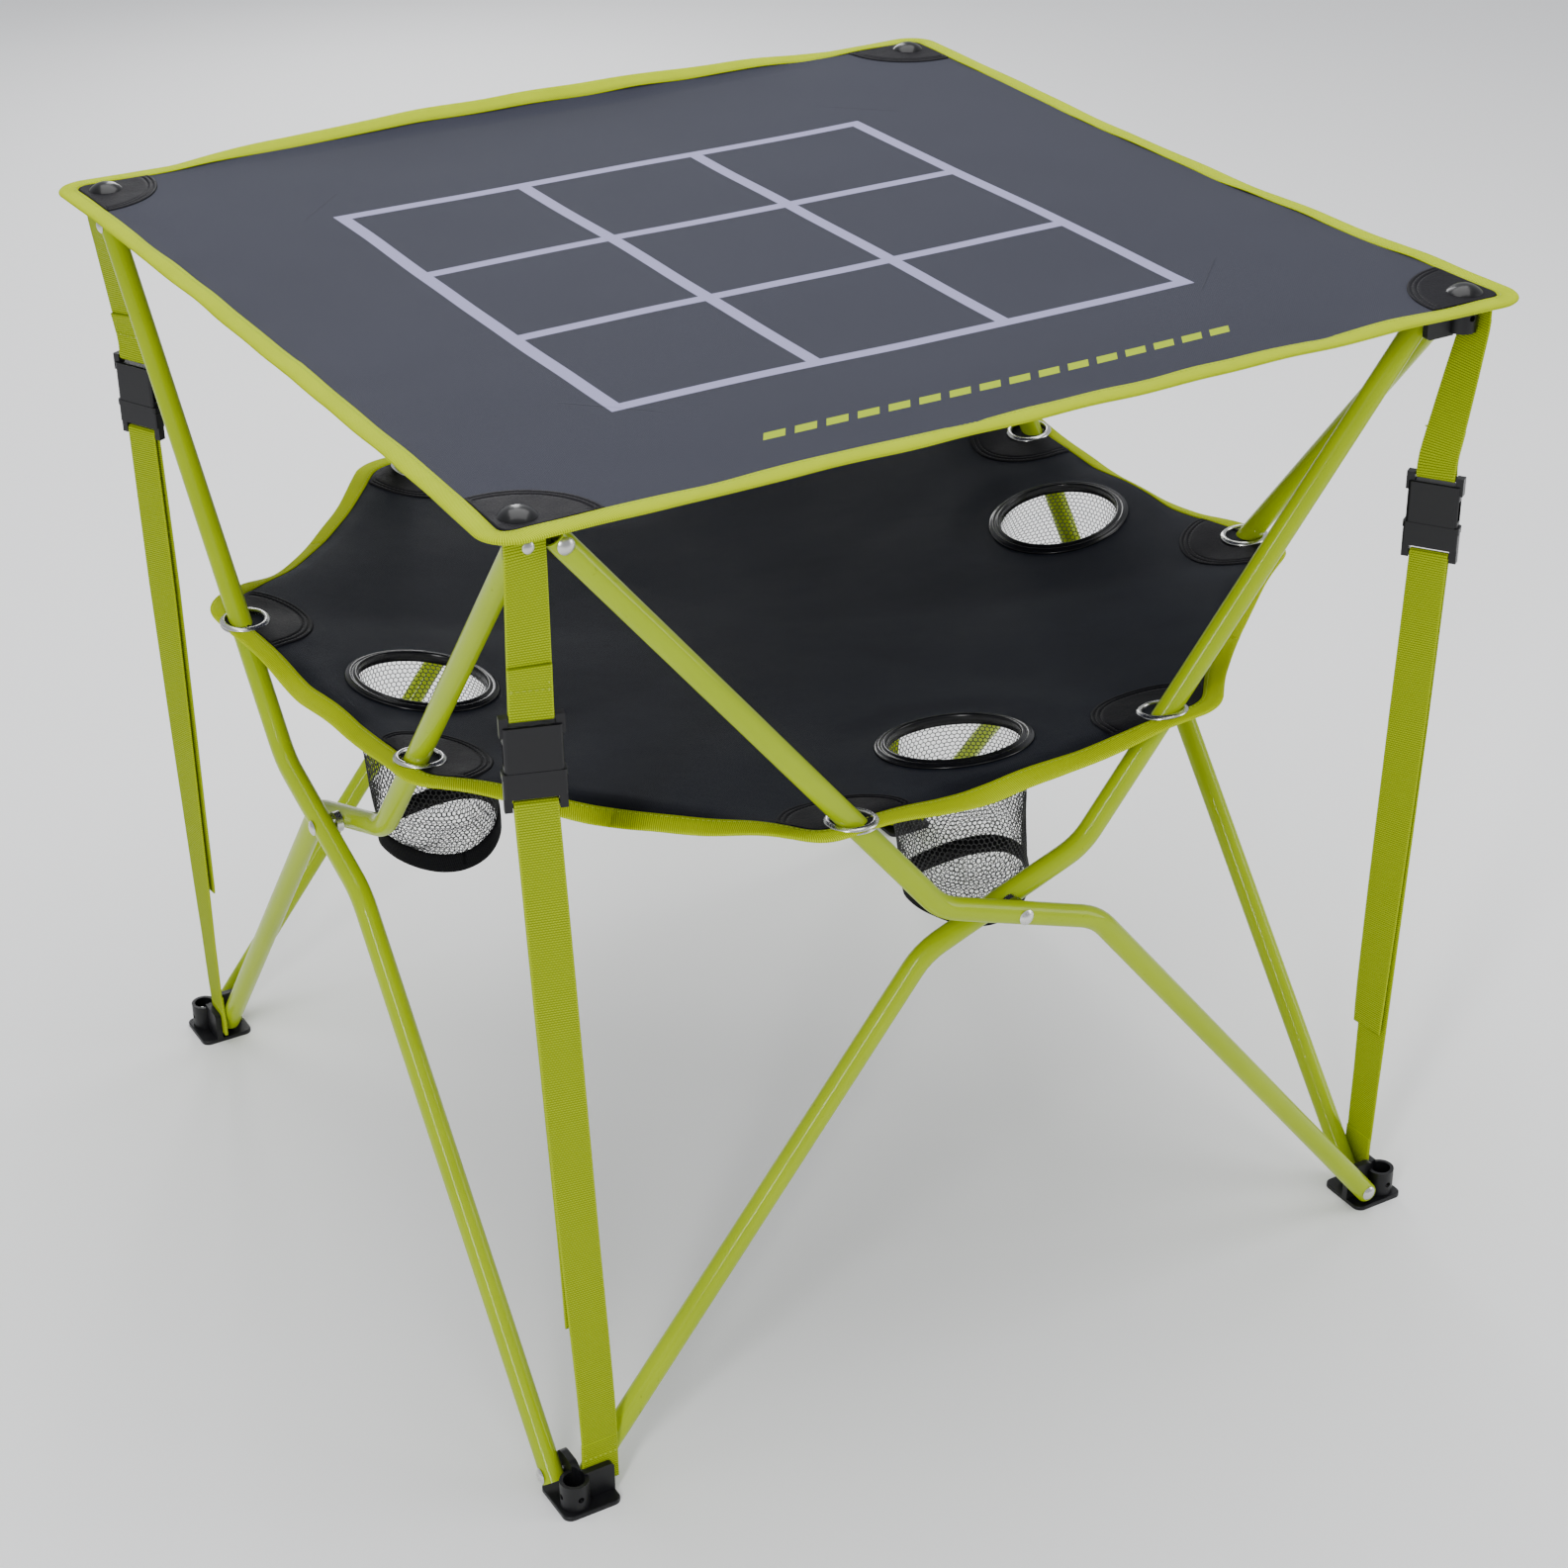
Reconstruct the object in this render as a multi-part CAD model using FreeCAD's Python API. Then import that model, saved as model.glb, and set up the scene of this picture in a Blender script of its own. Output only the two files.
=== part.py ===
"""Folding picnic table: fabric top and shelf on four pairs of crossed, S-bent steel tubes.

The frame repeats four times about the vertical axis. Side 0 is the front (-Y), then right, back
and left, each a quarter turn on. Corner 0 is front left and carries the straps' lower rivet of side 0.
On each side the outer tube climbs from the right foot to the left hub, as seen from outside,
and the inner tube climbs from the left foot to the right hub. Lengths are in millimetres.
"""
import FreeCAD, Part
import math
import os

# ---- driving dimensions ----
TOP_HALF = 355.5          # half width of the top at its corners
TOP_HOLLOW = 7.0          # how far each edge of the top curves in at its middle
TOP_CORNER_R = 24.0
PIVOT_H = 340.0           # height of the crossing pivots
FOOT_PIVOT_H = 15.0       # height of the rivets in the feet
RIVET_U = 303.0           # rivets' distance along each side from its middle
OUTER_PLANE = 330.0       # outer tubes' distance from the centre
INNER_PLANE = 310.0       # inner tubes' distance from the centre
TUBE_R = 7.5
TUBE_WALL = 1.2
BEND_U = 58.7             # where the steep and flat stretches of a tube would meet
BEND_DROP = 21.5
BEND_R = 45.0
TUBE_OVERHANG = 6.0       # tube beyond its end rivets
RIVET_R = 2.45
RIVET_HOLE_R = 2.5
SHELF_H = 443.5           # mid-thickness of the shelf's fabric
WEB_W = 25.4              # webbing of the corner straps
WEB_T = 1.4
HUB_TOP = 2 * PIVOT_H     # upper face of the hubs

CORNERS = ["front_left", "front_right", "back_right", "back_left"]
SIDES = ["front", "right", "back", "left"]
X = FreeCAD.Vector(1, 0, 0)
Y = FreeCAD.Vector(0, 1, 0)
Z = FreeCAD.Vector(0, 0, 1)


# ---- helpers ----
def vec(x, y, z):
    return FreeCAD.Vector(x, y, z)


def box(x0, x1, y0, y1, z0, z1):
    return Part.makeBox(x1 - x0, y1 - y0, z1 - z0, vec(x0, y0, z0))


def rod(r, start, direction, length):
    return Part.makeCylinder(r, length, start, direction)


def dome(r, height, base, direction):
    """A low round head: a flat disc face of radius r that rises to height."""
    ball_r = (r * r + height * height) / (2 * height)
    ball = Part.makeSphere(ball_r, base + direction * (height - ball_r))
    return ball.common(rod(r, base, direction, height + 1))


def quarter(shape, k):
    """The shape turned by k quarter turns about the vertical axis."""
    turned = shape.copy()
    turned.rotate(vec(0, 0, 0), Z, 90 * k)
    return turned


def foot_to_hub(shape):
    """A foot's part turned upside down about the corner's diagonal: x and y swap, z flips."""
    turned = shape.copy()
    turned.rotate(vec(0, 0, PIVOT_H), vec(1, 1, 0), 180)
    return turned


def group(parts):
    return parts[0] if len(parts) == 1 else Part.makeCompound(parts)


def prism(points, z0, z1, corner_r=0.0):
    """An upright prism on a closed polygon, its vertical corners rounded if asked."""
    ring = [vec(x, y, z0) for x, y in points]
    solid = Part.Face(Part.makePolygon(ring + [ring[0]])).extrude(vec(0, 0, z1 - z0))
    if not corner_r:
        return solid
    upright = [e for e in solid.Edges if abs(e.tangentAt(e.FirstParameter).z) > 0.99]
    return solid.makeFillet(corner_r, upright)


nodes = {}


def add(name, shape):
    nodes[name] = shape


# ---- frame tubes ----
def tube(side_sign, plane):
    """One S-bent tube of the front side. side_sign +1 puts its foot on the right."""
    foot = vec(side_sign * RIVET_U, -plane, FOOT_PIVOT_H)
    low = vec(side_sign * BEND_U, -plane, PIVOT_H - BEND_DROP)
    high = vec(-side_sign * BEND_U, -plane, PIVOT_H + BEND_DROP)
    hub = vec(-side_sign * RIVET_U, -plane, 2 * PIVOT_H - FOOT_PIVOT_H)
    steep = (low - foot).normalize()
    flat = (high - low).normalize()
    bend_angle = steep.getAngle(flat)
    cut_back = BEND_R * math.tan(bend_angle / 2)
    start = foot - steep * TUBE_OVERHANG
    end = hub + steep * TUBE_OVERHANG
    edges = []
    here = start
    for corner, before, after in ((low, steep, flat), (high, flat, steep)):
        enter = corner - before * cut_back
        leave = corner + after * cut_back
        inward = (after - before).normalize()
        middle = corner + inward * (BEND_R / math.cos(bend_angle / 2) - BEND_R)
        edges.append(Part.LineSegment(here, enter).toShape())
        edges.append(Part.Arc(enter, middle, leave).toShape())
        here = leave
    edges.append(Part.LineSegment(here, end).toShape())
    path = Part.Wire(edges)
    bodies = []
    for r in (TUBE_R, TUBE_R - TUBE_WALL):
        ring = Part.Wire([Part.makeCircle(r, start, steep)])
        bodies.append(path.makePipeShell([ring], True, False))
    pipe = bodies[0].cut(bodies[1])
    for centre in (foot, vec(0, -plane, PIVOT_H), hub):
        pipe = pipe.cut(rod(RIVET_HOLE_R, centre - Y * 12, Y, 24))
    return pipe


outer_tube = tube(1, OUTER_PLANE)
inner_tube = tube(-1, INNER_PLANE)

# ---- crossing pivots: a rivet through both tubes, with a spacer between them ----
gap_out = OUTER_PLANE - TUBE_R
gap_in = INNER_PLANE + TUBE_R
spacer = rod(7.0, vec(0, -gap_out + 0.3, PIVOT_H), Y, gap_out - gap_in - 0.6)
spacer = spacer.cut(rod(RIVET_HOLE_R, vec(0, -gap_out - 5, PIVOT_H), Y, 20))
pivot_start = -(OUTER_PLANE + TUBE_R + 0.1)
pivot_end = -(INNER_PLANE - TUBE_R - 0.1)
pivot = rod(RIVET_R, vec(0, pivot_start, PIVOT_H), Y, pivot_end - pivot_start)
pivot = pivot.fuse(dome(5.2, 2.0, vec(0, pivot_start, PIVOT_H), -Y))
pivot = pivot.fuse(dome(4.2, 1.6, vec(0, pivot_end, PIVOT_H), Y))

# ---- corner moulding, used upright as a foot and upside down as a hub ----
PLATE_OUT = 336.0
PLATE_IN = 296.0
PLATE_T = 3.0
TOWER = 324.0             # the round tower's distance from both middle lines
TOWER_R = 9.5
TOWER_HOLE_R = 7.0
TOWER_H = 22.0
WALL_H = 28.0
BOLT_R = 3.0

plate = prism(
    [(-PLATE_OUT, -PLATE_OUT), (-PLATE_IN, -PLATE_OUT), (-PLATE_IN, -PLATE_IN), (-PLATE_OUT, -PLATE_IN)],
    0,
    PLATE_T,
    6.0,
)
plate = plate.makeFillet(0.8, [e for e in plate.Edges if min(v.Z for v in e.Vertexes) > PLATE_T - 0.1])
strap_wall = box(-320, -PLATE_IN, -325.0, -320.4, PLATE_T - 1, WALL_H - 4)
tube_wall = box(-322.2, -317.2, -320, -PLATE_IN, PLATE_T - 1, WALL_H)
tube_wall = tube_wall.makeFillet(
    7.0, [e for e in tube_wall.Edges if abs(e.tangentAt(e.FirstParameter).x) > 0.9 and e.CenterOfMass.z > 20]
)
strap_wall = strap_wall.makeFillet(
    3.0,
    [
        e
        for e in strap_wall.Edges
        if abs(e.tangentAt(e.FirstParameter).y) > 0.9 and e.CenterOfMass.z > 20 and e.CenterOfMass.x > -300
    ],
)
moulding = plate.fuse([strap_wall, tube_wall, rod(TOWER_R, vec(-TOWER, -TOWER, 1), Z, TOWER_H - 1)])
moulding = moulding.cut(rod(TOWER_HOLE_R, vec(-TOWER, -TOWER, PLATE_T), Z, 40))
moulding = moulding.cut(rod(BOLT_R + 0.1, vec(-TOWER, -TOWER, -1), Z, 10))
moulding = moulding.cut(rod(2.05, vec(-340, -TOWER, 12), X, 12))
moulding = moulding.cut(rod(2.05, vec(-TOWER, -340, 12), Y, 12))
moulding = moulding.cut(rod(RIVET_HOLE_R, vec(-RIVET_U, -324.0, FOOT_PIVOT_H), Y, 12))
moulding = moulding.cut(rod(RIVET_HOLE_R, vec(-330, -RIVET_U, FOOT_PIVOT_H), X, 20))
moulding = moulding.removeSplitter()

# The inner tube's rivet runs from a blind hole in the strap wall to a head on the tube's inner side.
inner_rivet = rod(RIVET_R, vec(-RIVET_U, -323.8, FOOT_PIVOT_H), Y, 323.8 - 302.4)
inner_rivet = inner_rivet.fuse(dome(4.4, 1.8, vec(-RIVET_U, -302.4, FOOT_PIVOT_H), Y))
# The outer tube's rivet has its dome outside the tube and a small tail behind the wall.
outer_rivet = rod(RIVET_R, vec(-337.6, -RIVET_U, FOOT_PIVOT_H), X, 337.6 - 317.1)
outer_rivet = outer_rivet.fuse(dome(5.2, 2.2, vec(-337.6, -RIVET_U, FOOT_PIVOT_H), -X))
outer_rivet = outer_rivet.fuse(dome(3.6, 1.2, vec(-317.1, -RIVET_U, FOOT_PIVOT_H), X))

# ---- hub fasteners: the two tube rivets, the strap's rivet, a washer, the dome bolt and its nut ----
PANEL_Z0 = HUB_TOP + 0.2
PANEL_T = 1.6
PATCH_Z0 = PANEL_Z0 + PANEL_T + 0.1
PATCH_T = 0.9
DOME_R = 11.2
DOME_H = 5.0
dome_base = vec(-TOWER, -TOWER, PATCH_Z0 + PATCH_T + 0.1)
bolt = dome(DOME_R, DOME_H, dome_base, Z)
bolt = bolt.fuse(rod(BOLT_R, vec(-TOWER, -TOWER, HUB_TOP - 14), Z, dome_base.z - HUB_TOP + 14))
hexagon = [
    (-TOWER + 6 * math.cos(math.radians(60 * i)), -TOWER + 6 * math.sin(math.radians(60 * i))) for i in range(6)
]
nut = prism(hexagon, HUB_TOP - 9, HUB_TOP - PLATE_T - 0.1)
nut = nut.cut(rod(BOLT_R + 0.05, vec(-TOWER, -TOWER, HUB_TOP - 20), Z, 30))
washer = rod(5.5, vec(-320.3, -RIVET_U, HUB_TOP - FOOT_PIVOT_H), X, 2.5)
washer = washer.cut(rod(RIVET_HOLE_R, vec(-325, -RIVET_U, HUB_TOP - FOOT_PIVOT_H), X, 10))
STRAP_TOP_X = -326.0
STRAP_TOP_Y = -TOWER - TOWER_R - 0.2 - WEB_T / 2
STRAP_RIVET_H = HUB_TOP - 12
strap_rivet = rod(2.0, vec(-TOWER, STRAP_TOP_Y - WEB_T / 2 - 0.1, STRAP_RIVET_H), Y, 6)
strap_rivet = strap_rivet.fuse(dome(3.6, 1.2, vec(-TOWER, STRAP_TOP_Y - WEB_T / 2 - 0.1, STRAP_RIVET_H), -Y))

# ---- corner straps and their side-release buckles ----
BUCKLE_X = -320.5
BUCKLE_Y = -318.5
BUCKLE_Z0 = 502.0         # lower end of the male half
FEMALE_Z0 = 523.0
BUCKLE_Z1 = 562.0         # upper end of the female half
BUCKLE_HALF_W = 18.5
BUCKLE_HALF_T = 4.5
BAR_GAP = 2.2             # webbing layers stand this far either side of a buckle's bar
BAR_HALF = 1.0            # half the thickness of the bars the webbing wraps
TAIL_END_Z = 134.0
BUCKLE_TURN = [-18.0, 34.0, -12.0, 26.0]   # each corner's buckle hangs turned by this about the vertical


def band(stations, half_w=WEB_W / 2, half_t=WEB_T / 2):
    """A webbing strip through stations of (x, y, z, turn in degrees about the vertical)."""
    wires = []
    for x, y, z, turn in stations:
        c = math.cos(math.radians(turn))
        s = math.sin(math.radians(turn))
        ring = []
        for a, b in ((-half_w, -half_t), (half_w, -half_t), (half_w, half_t), (-half_w, half_t)):
            ring.append(vec(x + a * c - b * s, y + a * s + b * c, z))
        wires.append(Part.makePolygon(ring + [ring[0]]))
    return Part.makeLoft(wires, True, True)


def turned(shape, turn):
    moved = shape.copy()
    moved.rotate(vec(BUCKLE_X, BUCKLE_Y, 0), Z, turn)
    return moved


def layer(offset, turn):
    """The centre of a webbing layer that lies offset behind the buckle's middle plane."""
    s = math.radians(turn)
    return BUCKLE_X - offset * math.sin(s), BUCKLE_Y + offset * math.cos(s)


def loop_end(z_bar, up, turn):
    """The half-round turn of webbing about a buckle's bar."""
    r = BAR_GAP + WEB_T / 2
    ring = rod(r, vec(-WEB_W / 2, 0, 0), X, WEB_W).cut(rod(r - WEB_T, vec(-WEB_W, 0, 0), X, 2 * WEB_W))
    keep = box(-WEB_W, WEB_W, -10, 10, 0, 10) if up else box(-WEB_W, WEB_W, -10, 10, -10, 0)
    bend = ring.common(keep)
    bend.translate(vec(BUCKLE_X, BUCKLE_Y, z_bar))
    return turned(bend, turn)


def upper_strap(turn):
    z_bar = BUCKLE_Z1 - 2.0
    front = layer(-BAR_GAP, turn)
    back = layer(BAR_GAP, turn)
    tail_top = z_bar + 34
    mid = 0.35
    main = band(
        [
            (front[0], front[1], z_bar, turn),
            (front[0] - 0.5, front[1] - 1.0, z_bar + 34, turn),
            (
                front[0] + (STRAP_TOP_X - front[0]) * (1 - mid),
                front[1] + (STRAP_TOP_Y - front[1]) * (1 - mid),
                z_bar + 34 + (HUB_TOP - 30 - z_bar - 34) * (1 - mid),
                turn * mid,
            ),
            (STRAP_TOP_X, STRAP_TOP_Y, HUB_TOP - 27, 0),
            (STRAP_TOP_X, STRAP_TOP_Y, HUB_TOP - PLATE_T - 0.3, 0),
        ]
    )
    s = math.radians(turn)
    near = WEB_T + 0.02
    fold = band(
        [
            (back[0], back[1], z_bar, turn),
            (front[0] - 0.12 - near * math.sin(s), front[1] - 0.26 + near * math.cos(s), z_bar + 9, turn),
            (front[0] - 0.48 - near * math.sin(s), front[1] - 0.96 + near * math.cos(s), tail_top - 1, turn),
        ]
    )
    strap = main.fuse([fold, loop_end(z_bar, False, turn)])
    return strap.cut(rod(2.1, vec(-TOWER, STRAP_TOP_Y - 3, STRAP_RIVET_H), Y, 6))


def lower_strap(turn):
    z_bar = BUCKLE_Z0 + 3.0
    front = layer(-BAR_GAP, turn)
    back = layer(BAR_GAP, turn)
    foot_x = -RIVET_U
    foot_y = -319.0
    lean = (foot_x - BUCKLE_X) / (z_bar - 44)
    main = band(
        [
            (foot_x, foot_y - 0.5, 44, 0),
            (front[0] + lean * 300, foot_y - 1.3, z_bar - 300, turn * 0.45),
            (front[0] + lean * 120, front[1], z_bar - 120, turn),
            (front[0], front[1], z_bar, turn),
        ]
    )
    doubled = band([(foot_x, foot_y, 8, 0), (foot_x, foot_y, 38, 0), (foot_x, foot_y - 0.5, 44, 0)], half_t=1.2)
    taper = (z_bar - TAIL_END_Z) * 0.98
    tail_turn = turn * 0.3
    tail = band(
        [
            (front[0] + lean * taper, foot_y + 2.2, TAIL_END_Z, tail_turn),
            (front[0] + lean * 300 + 0.5, foot_y + 2.4, z_bar - 300, turn * 0.45),
            (back[0] + lean * 120, back[1] + 0.6, z_bar - 120, turn),
            (back[0], back[1], z_bar, turn),
        ]
    )
    strap = main.fuse([doubled, tail, loop_end(z_bar, True, turn)])
    return strap.cut(rod(RIVET_HOLE_R + 0.1, vec(-RIVET_U, -330, FOOT_PIVOT_H), Y, 20))


def slab(half_w, half_t, z0, z1):
    return box(BUCKLE_X - half_w, BUCKLE_X + half_w, BUCKLE_Y - half_t, BUCKLE_Y + half_t, z0, z1)


def female_buckle():
    """A flat housing open below, with a window in each side and a strap bar at the top."""
    shell = slab(BUCKLE_HALF_W - 1.5, BUCKLE_HALF_T, FEMALE_Z0, BUCKLE_Z1 - 7)
    shell = shell.makeFillet(
        2.5, [e for e in shell.Edges if abs(e.tangentAt(e.FirstParameter).z) > 0.9]
    )
    lip = slab(BUCKLE_HALF_W, BUCKLE_HALF_T + 0.3, FEMALE_Z0, FEMALE_Z0 + 4)
    lip = lip.makeFillet(2.5, [e for e in lip.Edges if abs(e.tangentAt(e.FirstParameter).z) > 0.9])
    frame = slab(BUCKLE_HALF_W, 3.0, BUCKLE_Z1 - 13, BUCKLE_Z1 - 1)
    frame = frame.cut(slab(WEB_W / 2 + 0.6, 10, BUCKLE_Z1 - 6.6, BUCKLE_Z1 - 3.7))
    shell = shell.fuse([lip, frame])
    shell = shell.cut(slab(WEB_W / 2 + 0.6, 10, BUCKLE_Z1 - 3.8, BUCKLE_Z1 + 3))
    shell = shell.fuse(slab(BUCKLE_HALF_W - 1, BAR_HALF, BUCKLE_Z1 - 2 - BAR_HALF, BUCKLE_Z1 - 2 + BAR_HALF))
    shell = shell.cut(slab(14.6, 2.9, FEMALE_Z0 - 1, FEMALE_Z0 + 24))
    for sign in (-1, 1):
        middle = BUCKLE_X + sign * (BUCKLE_HALF_W + 1)
        shell = shell.cut(box(middle - 6, middle + 6, BUCKLE_Y - 2.9, BUCKLE_Y + 2.9, FEMALE_Z0 + 8, FEMALE_Z0 + 22))
    return shell


def male_buckle():
    """A bar end with two sprung arms and a centre guide that stand inside the housing."""
    base = slab(BUCKLE_HALF_W - 0.5, BUCKLE_HALF_T - 0.5, BUCKLE_Z0 + 8.5, FEMALE_Z0 - 0.3)
    base = base.makeFillet(1.5, [e for e in base.Edges if abs(e.tangentAt(e.FirstParameter).x) < 0.1])
    cheeks = slab(BUCKLE_HALF_W - 0.5, 2.6, BUCKLE_Z0, BUCKLE_Z0 + 10)
    cheeks = cheeks.cut(slab(WEB_W / 2 + 0.6, 10, BUCKLE_Z0 - 1, BUCKLE_Z0 + 8.4))
    bar = slab(BUCKLE_HALF_W - 1, BAR_HALF, BUCKLE_Z0 + 3 - BAR_HALF, BUCKLE_Z0 + 3 + BAR_HALF)
    solid = base.fuse([cheeks, bar])
    for sign in (-1, 1):
        outline = [(14.2, -1), (14.2, 8), (12.9, 9), (14.4, 13), (14.4, 19), (10.5, 23), (8.5, 21), (9.6, 8), (8.6, -1)]
        ring = [vec(BUCKLE_X + sign * u, BUCKLE_Y - 2.5, FEMALE_Z0 + v) for u, v in outline]
        solid = solid.fuse(Part.Face(Part.makePolygon(ring + [ring[0]])).extrude(vec(0, 5, 0)))
    guide = slab(2.2, 2.0, FEMALE_Z0 - 1, FEMALE_Z0 + 18)
    return solid.fuse(guide).removeSplitter()


male = male_buckle()
female = female_buckle()

for k in range(4):
    corner = CORNERS[k]
    turn = BUCKLE_TURN[k]
    hub_rivets = [foot_to_hub(inner_rivet), foot_to_hub(outer_rivet), strap_rivet, washer, bolt, nut]
    add("foot_" + corner, quarter(moulding, k))
    add("foot_rivets_" + corner, group([quarter(s, k) for s in (inner_rivet, outer_rivet)]))
    add("hub_" + corner, quarter(foot_to_hub(moulding), k))
    add("hub_fasteners_" + corner, group([quarter(s, k) for s in hub_rivets]))
    add("strap_lower_" + corner, quarter(lower_strap(turn), k))
    add("strap_upper_" + corner, quarter(upper_strap(turn), k))
    add("buckle_male_" + corner, quarter(turned(male, turn), k))
    add("buckle_female_" + corner, quarter(turned(female, turn), k))
    add("tube_outer_" + SIDES[k], quarter(outer_tube, k))
    add("tube_inner_" + SIDES[k], quarter(inner_tube, k))
    add("crossing_pivot_" + SIDES[k], group([quarter(pivot, k), quarter(spacer, k)]))


# ---- fabric top ----
def hollow_square(half, hollow, corner_r, z0, z1):
    """A square with edges that curve in towards their middles, and round corners."""
    edges = []
    for k in range(4):
        a = math.radians(90 * k)
        c, s = math.cos(a), math.sin(a)
        ends = [(-half, -half), (0, -half + hollow), (half, -half)]
        points = [vec(x * c - y * s, x * s + y * c, z0) for x, y in ends]
        edges.append(Part.Arc(*points).toShape())
    solid = Part.Face(Part.Wire(edges)).extrude(vec(0, 0, z1 - z0))
    upright = [e for e in solid.Edges if abs(e.tangentAt(e.FirstParameter).z) > 0.99]
    return solid.makeFillet(corner_r, upright)


EDGE_W = 13.0             # webbing bound round the edges, as seen from above
EDGE_T = 0.9
panel = hollow_square(TOP_HALF - 1.2, TOP_HOLLOW, TOP_CORNER_R - 1.2, PANEL_Z0, PANEL_Z0 + PANEL_T)
edge_z0 = PANEL_Z0 - 0.1 - EDGE_T
edge_z1 = PANEL_Z0 + PANEL_T + 0.1 + EDGE_T
edging = hollow_square(TOP_HALF, TOP_HOLLOW, TOP_CORNER_R, edge_z0, edge_z1)
inside = hollow_square(TOP_HALF - EDGE_W, TOP_HOLLOW, TOP_CORNER_R - EDGE_W + 2, edge_z0 - 1, edge_z1 + 1)
slot = hollow_square(TOP_HALF - 1.1, TOP_HOLLOW, TOP_CORNER_R - 1.1, PANEL_Z0 - 0.1, PANEL_Z0 + PANEL_T + 0.1)
edging = edging.cut(inside).cut(slot)
patches = []
for k in range(4):
    hole = quarter(rod(BOLT_R + 0.2, vec(-TOWER, -TOWER, HUB_TOP - 5), Z, 20), k)
    panel = panel.cut(hole)
    disc = quarter(rod(46.0, vec(-TOWER + 2, -TOWER + 2, PATCH_Z0), Z, PATCH_T), k)
    cover = hollow_square(TOP_HALF - EDGE_W - 0.2, TOP_HOLLOW, TOP_CORNER_R - EDGE_W + 2, PATCH_Z0 - 1, PATCH_Z0 + 3)
    patches.append(disc.common(cover).cut(hole))
    reach = TOP_HALF + 20
    wedge = prism([(0, -0.2), (reach - 0.2, -reach), (-reach + 0.2, -reach)], edge_z0 - 5, edge_z1 + 5)
    add("top_edge_" + SIDES[k], edging.common(quarter(wedge, k)))
add("top_panel", panel)
add("top_corner_patches", group(patches))

# ---- fabric shelf: an octagon threaded on the upper stretches of the eight tubes ----
SHELF_T = 1.8
GROMMET_R = 16.9
GROMMET_HOLE_R = 13.0
BARREL_R = 14.4
CUP_AT = 252.0            # cup holders' distance from the centre
CUP_RIM_R = 51.0
CUP_HOLE_R = 42.5
CUP_DEPTH = 118.0
outer_end = (-152.0, -345.0)   # octagon's corner by an outer tube
inner_end = (152.0, -327.0)    # octagon's corner by an inner tube


def octagon(inset):
    points = []
    for k in range(4):
        a = math.radians(90 * k)
        c, s = math.cos(a), math.sin(a)
        for x, y in (outer_end, inner_end):
            r = math.hypot(x, y)
            x *= 1 - inset / r * 1.06
            y *= 1 - inset / r * 1.06
            points.append((x * c - y * s, x * s + y * c))
    return points


def sheet(inset, z0, z1, corner_r):
    return prism(octagon(inset), SHELF_H + z0, SHELF_H + z1, corner_r)


steep_run = (RIVET_U - BEND_U) / (PIVOT_H - BEND_DROP - FOOT_PIVOT_H)
thread_u = BEND_U + (SHELF_H - PIVOT_H - BEND_DROP) * steep_run
eyes = []
for k in range(4):
    a = math.radians(90 * k)
    c, s = math.cos(a), math.sin(a)
    for x, y in ((-thread_u, -OUTER_PLANE + 3), (thread_u, -INNER_PLANE + 3)):
        eyes.append(vec(x * c - y * s, x * s + y * c, SHELF_H))
cups = [quarter(Part.Vertex(0, -CUP_AT, SHELF_H), k).Point for k in range(4)]

holes = [rod(BARREL_R + 0.2, eye - Z * 10, Z, 20) for eye in eyes]
cup_holes = [rod(CUP_HOLE_R + 1.6, cup - Z * 10, Z, 20) for cup in cups]
half = SHELF_T / 2
shelf = sheet(1.4, -half, half, 16.0).cut(holes + cup_holes)
shelf_edge = sheet(0, -half - 1.0, half + 1.0, 17.0)
shelf_edge = shelf_edge.cut([sheet(12.5, -5, 5, 11.0), sheet(1.2, -half - 0.1, half + 0.1, 16.0)] + holes)
shelf_cover = sheet(12.9, half + 0.1, half + 0.9, 11.0)
shelf_patches = [rod(31.0, eye - Z, Z, 5).common(shelf_cover).cut(holes) for eye in eyes]
grommets = []
for eye in eyes:
    ring = rod(BARREL_R, eye - Z * (half + 1.9), Z, 2 * (half + 1.9))
    ring = ring.fuse(rod(GROMMET_R, eye + Z * (half + 1.1), Z, 1.0))
    ring = ring.fuse(rod(GROMMET_R, eye - Z * (half + 2.1), Z, 1.0))
    grommets.append(ring.cut(rod(GROMMET_HOLE_R, eye - Z * 10, Z, 20)))

cup_rim = Part.makeTorus(CUP_RIM_R - 4.0, 4.0, vec(0, -CUP_AT, SHELF_H + half + 0.2))
cup_rim = cup_rim.common(rod(CUP_RIM_R + 1, vec(0, -CUP_AT, SHELF_H + half + 0.2), Z, 5))
cup_rim = cup_rim.fuse(rod(CUP_HOLE_R + 1.4, vec(0, -CUP_AT, SHELF_H - half - 2.0), Z, 2 * half + 2.4))
cup_rim = cup_rim.cut(rod(CUP_HOLE_R, vec(0, -CUP_AT, SHELF_H - 10), Z, 20))
bag_top = SHELF_H - half - 2.2
bag = rod(CUP_HOLE_R + 1.4, vec(0, -CUP_AT, bag_top - CUP_DEPTH), Z, CUP_DEPTH)
bag = bag.cut(rod(CUP_HOLE_R + 0.4, vec(0, -CUP_AT, bag_top - CUP_DEPTH + 1.2), Z, CUP_DEPTH))

for k in range(4):
    add("cup_rim_" + SIDES[k], quarter(cup_rim, k))
add("cup_bags", group([quarter(bag, k) for k in range(4)]))
add("shelf_panel", shelf)
add("shelf_edge", shelf_edge)
add("shelf_patches", group(shelf_patches))
add("shelf_grommets", group(grommets))

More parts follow.
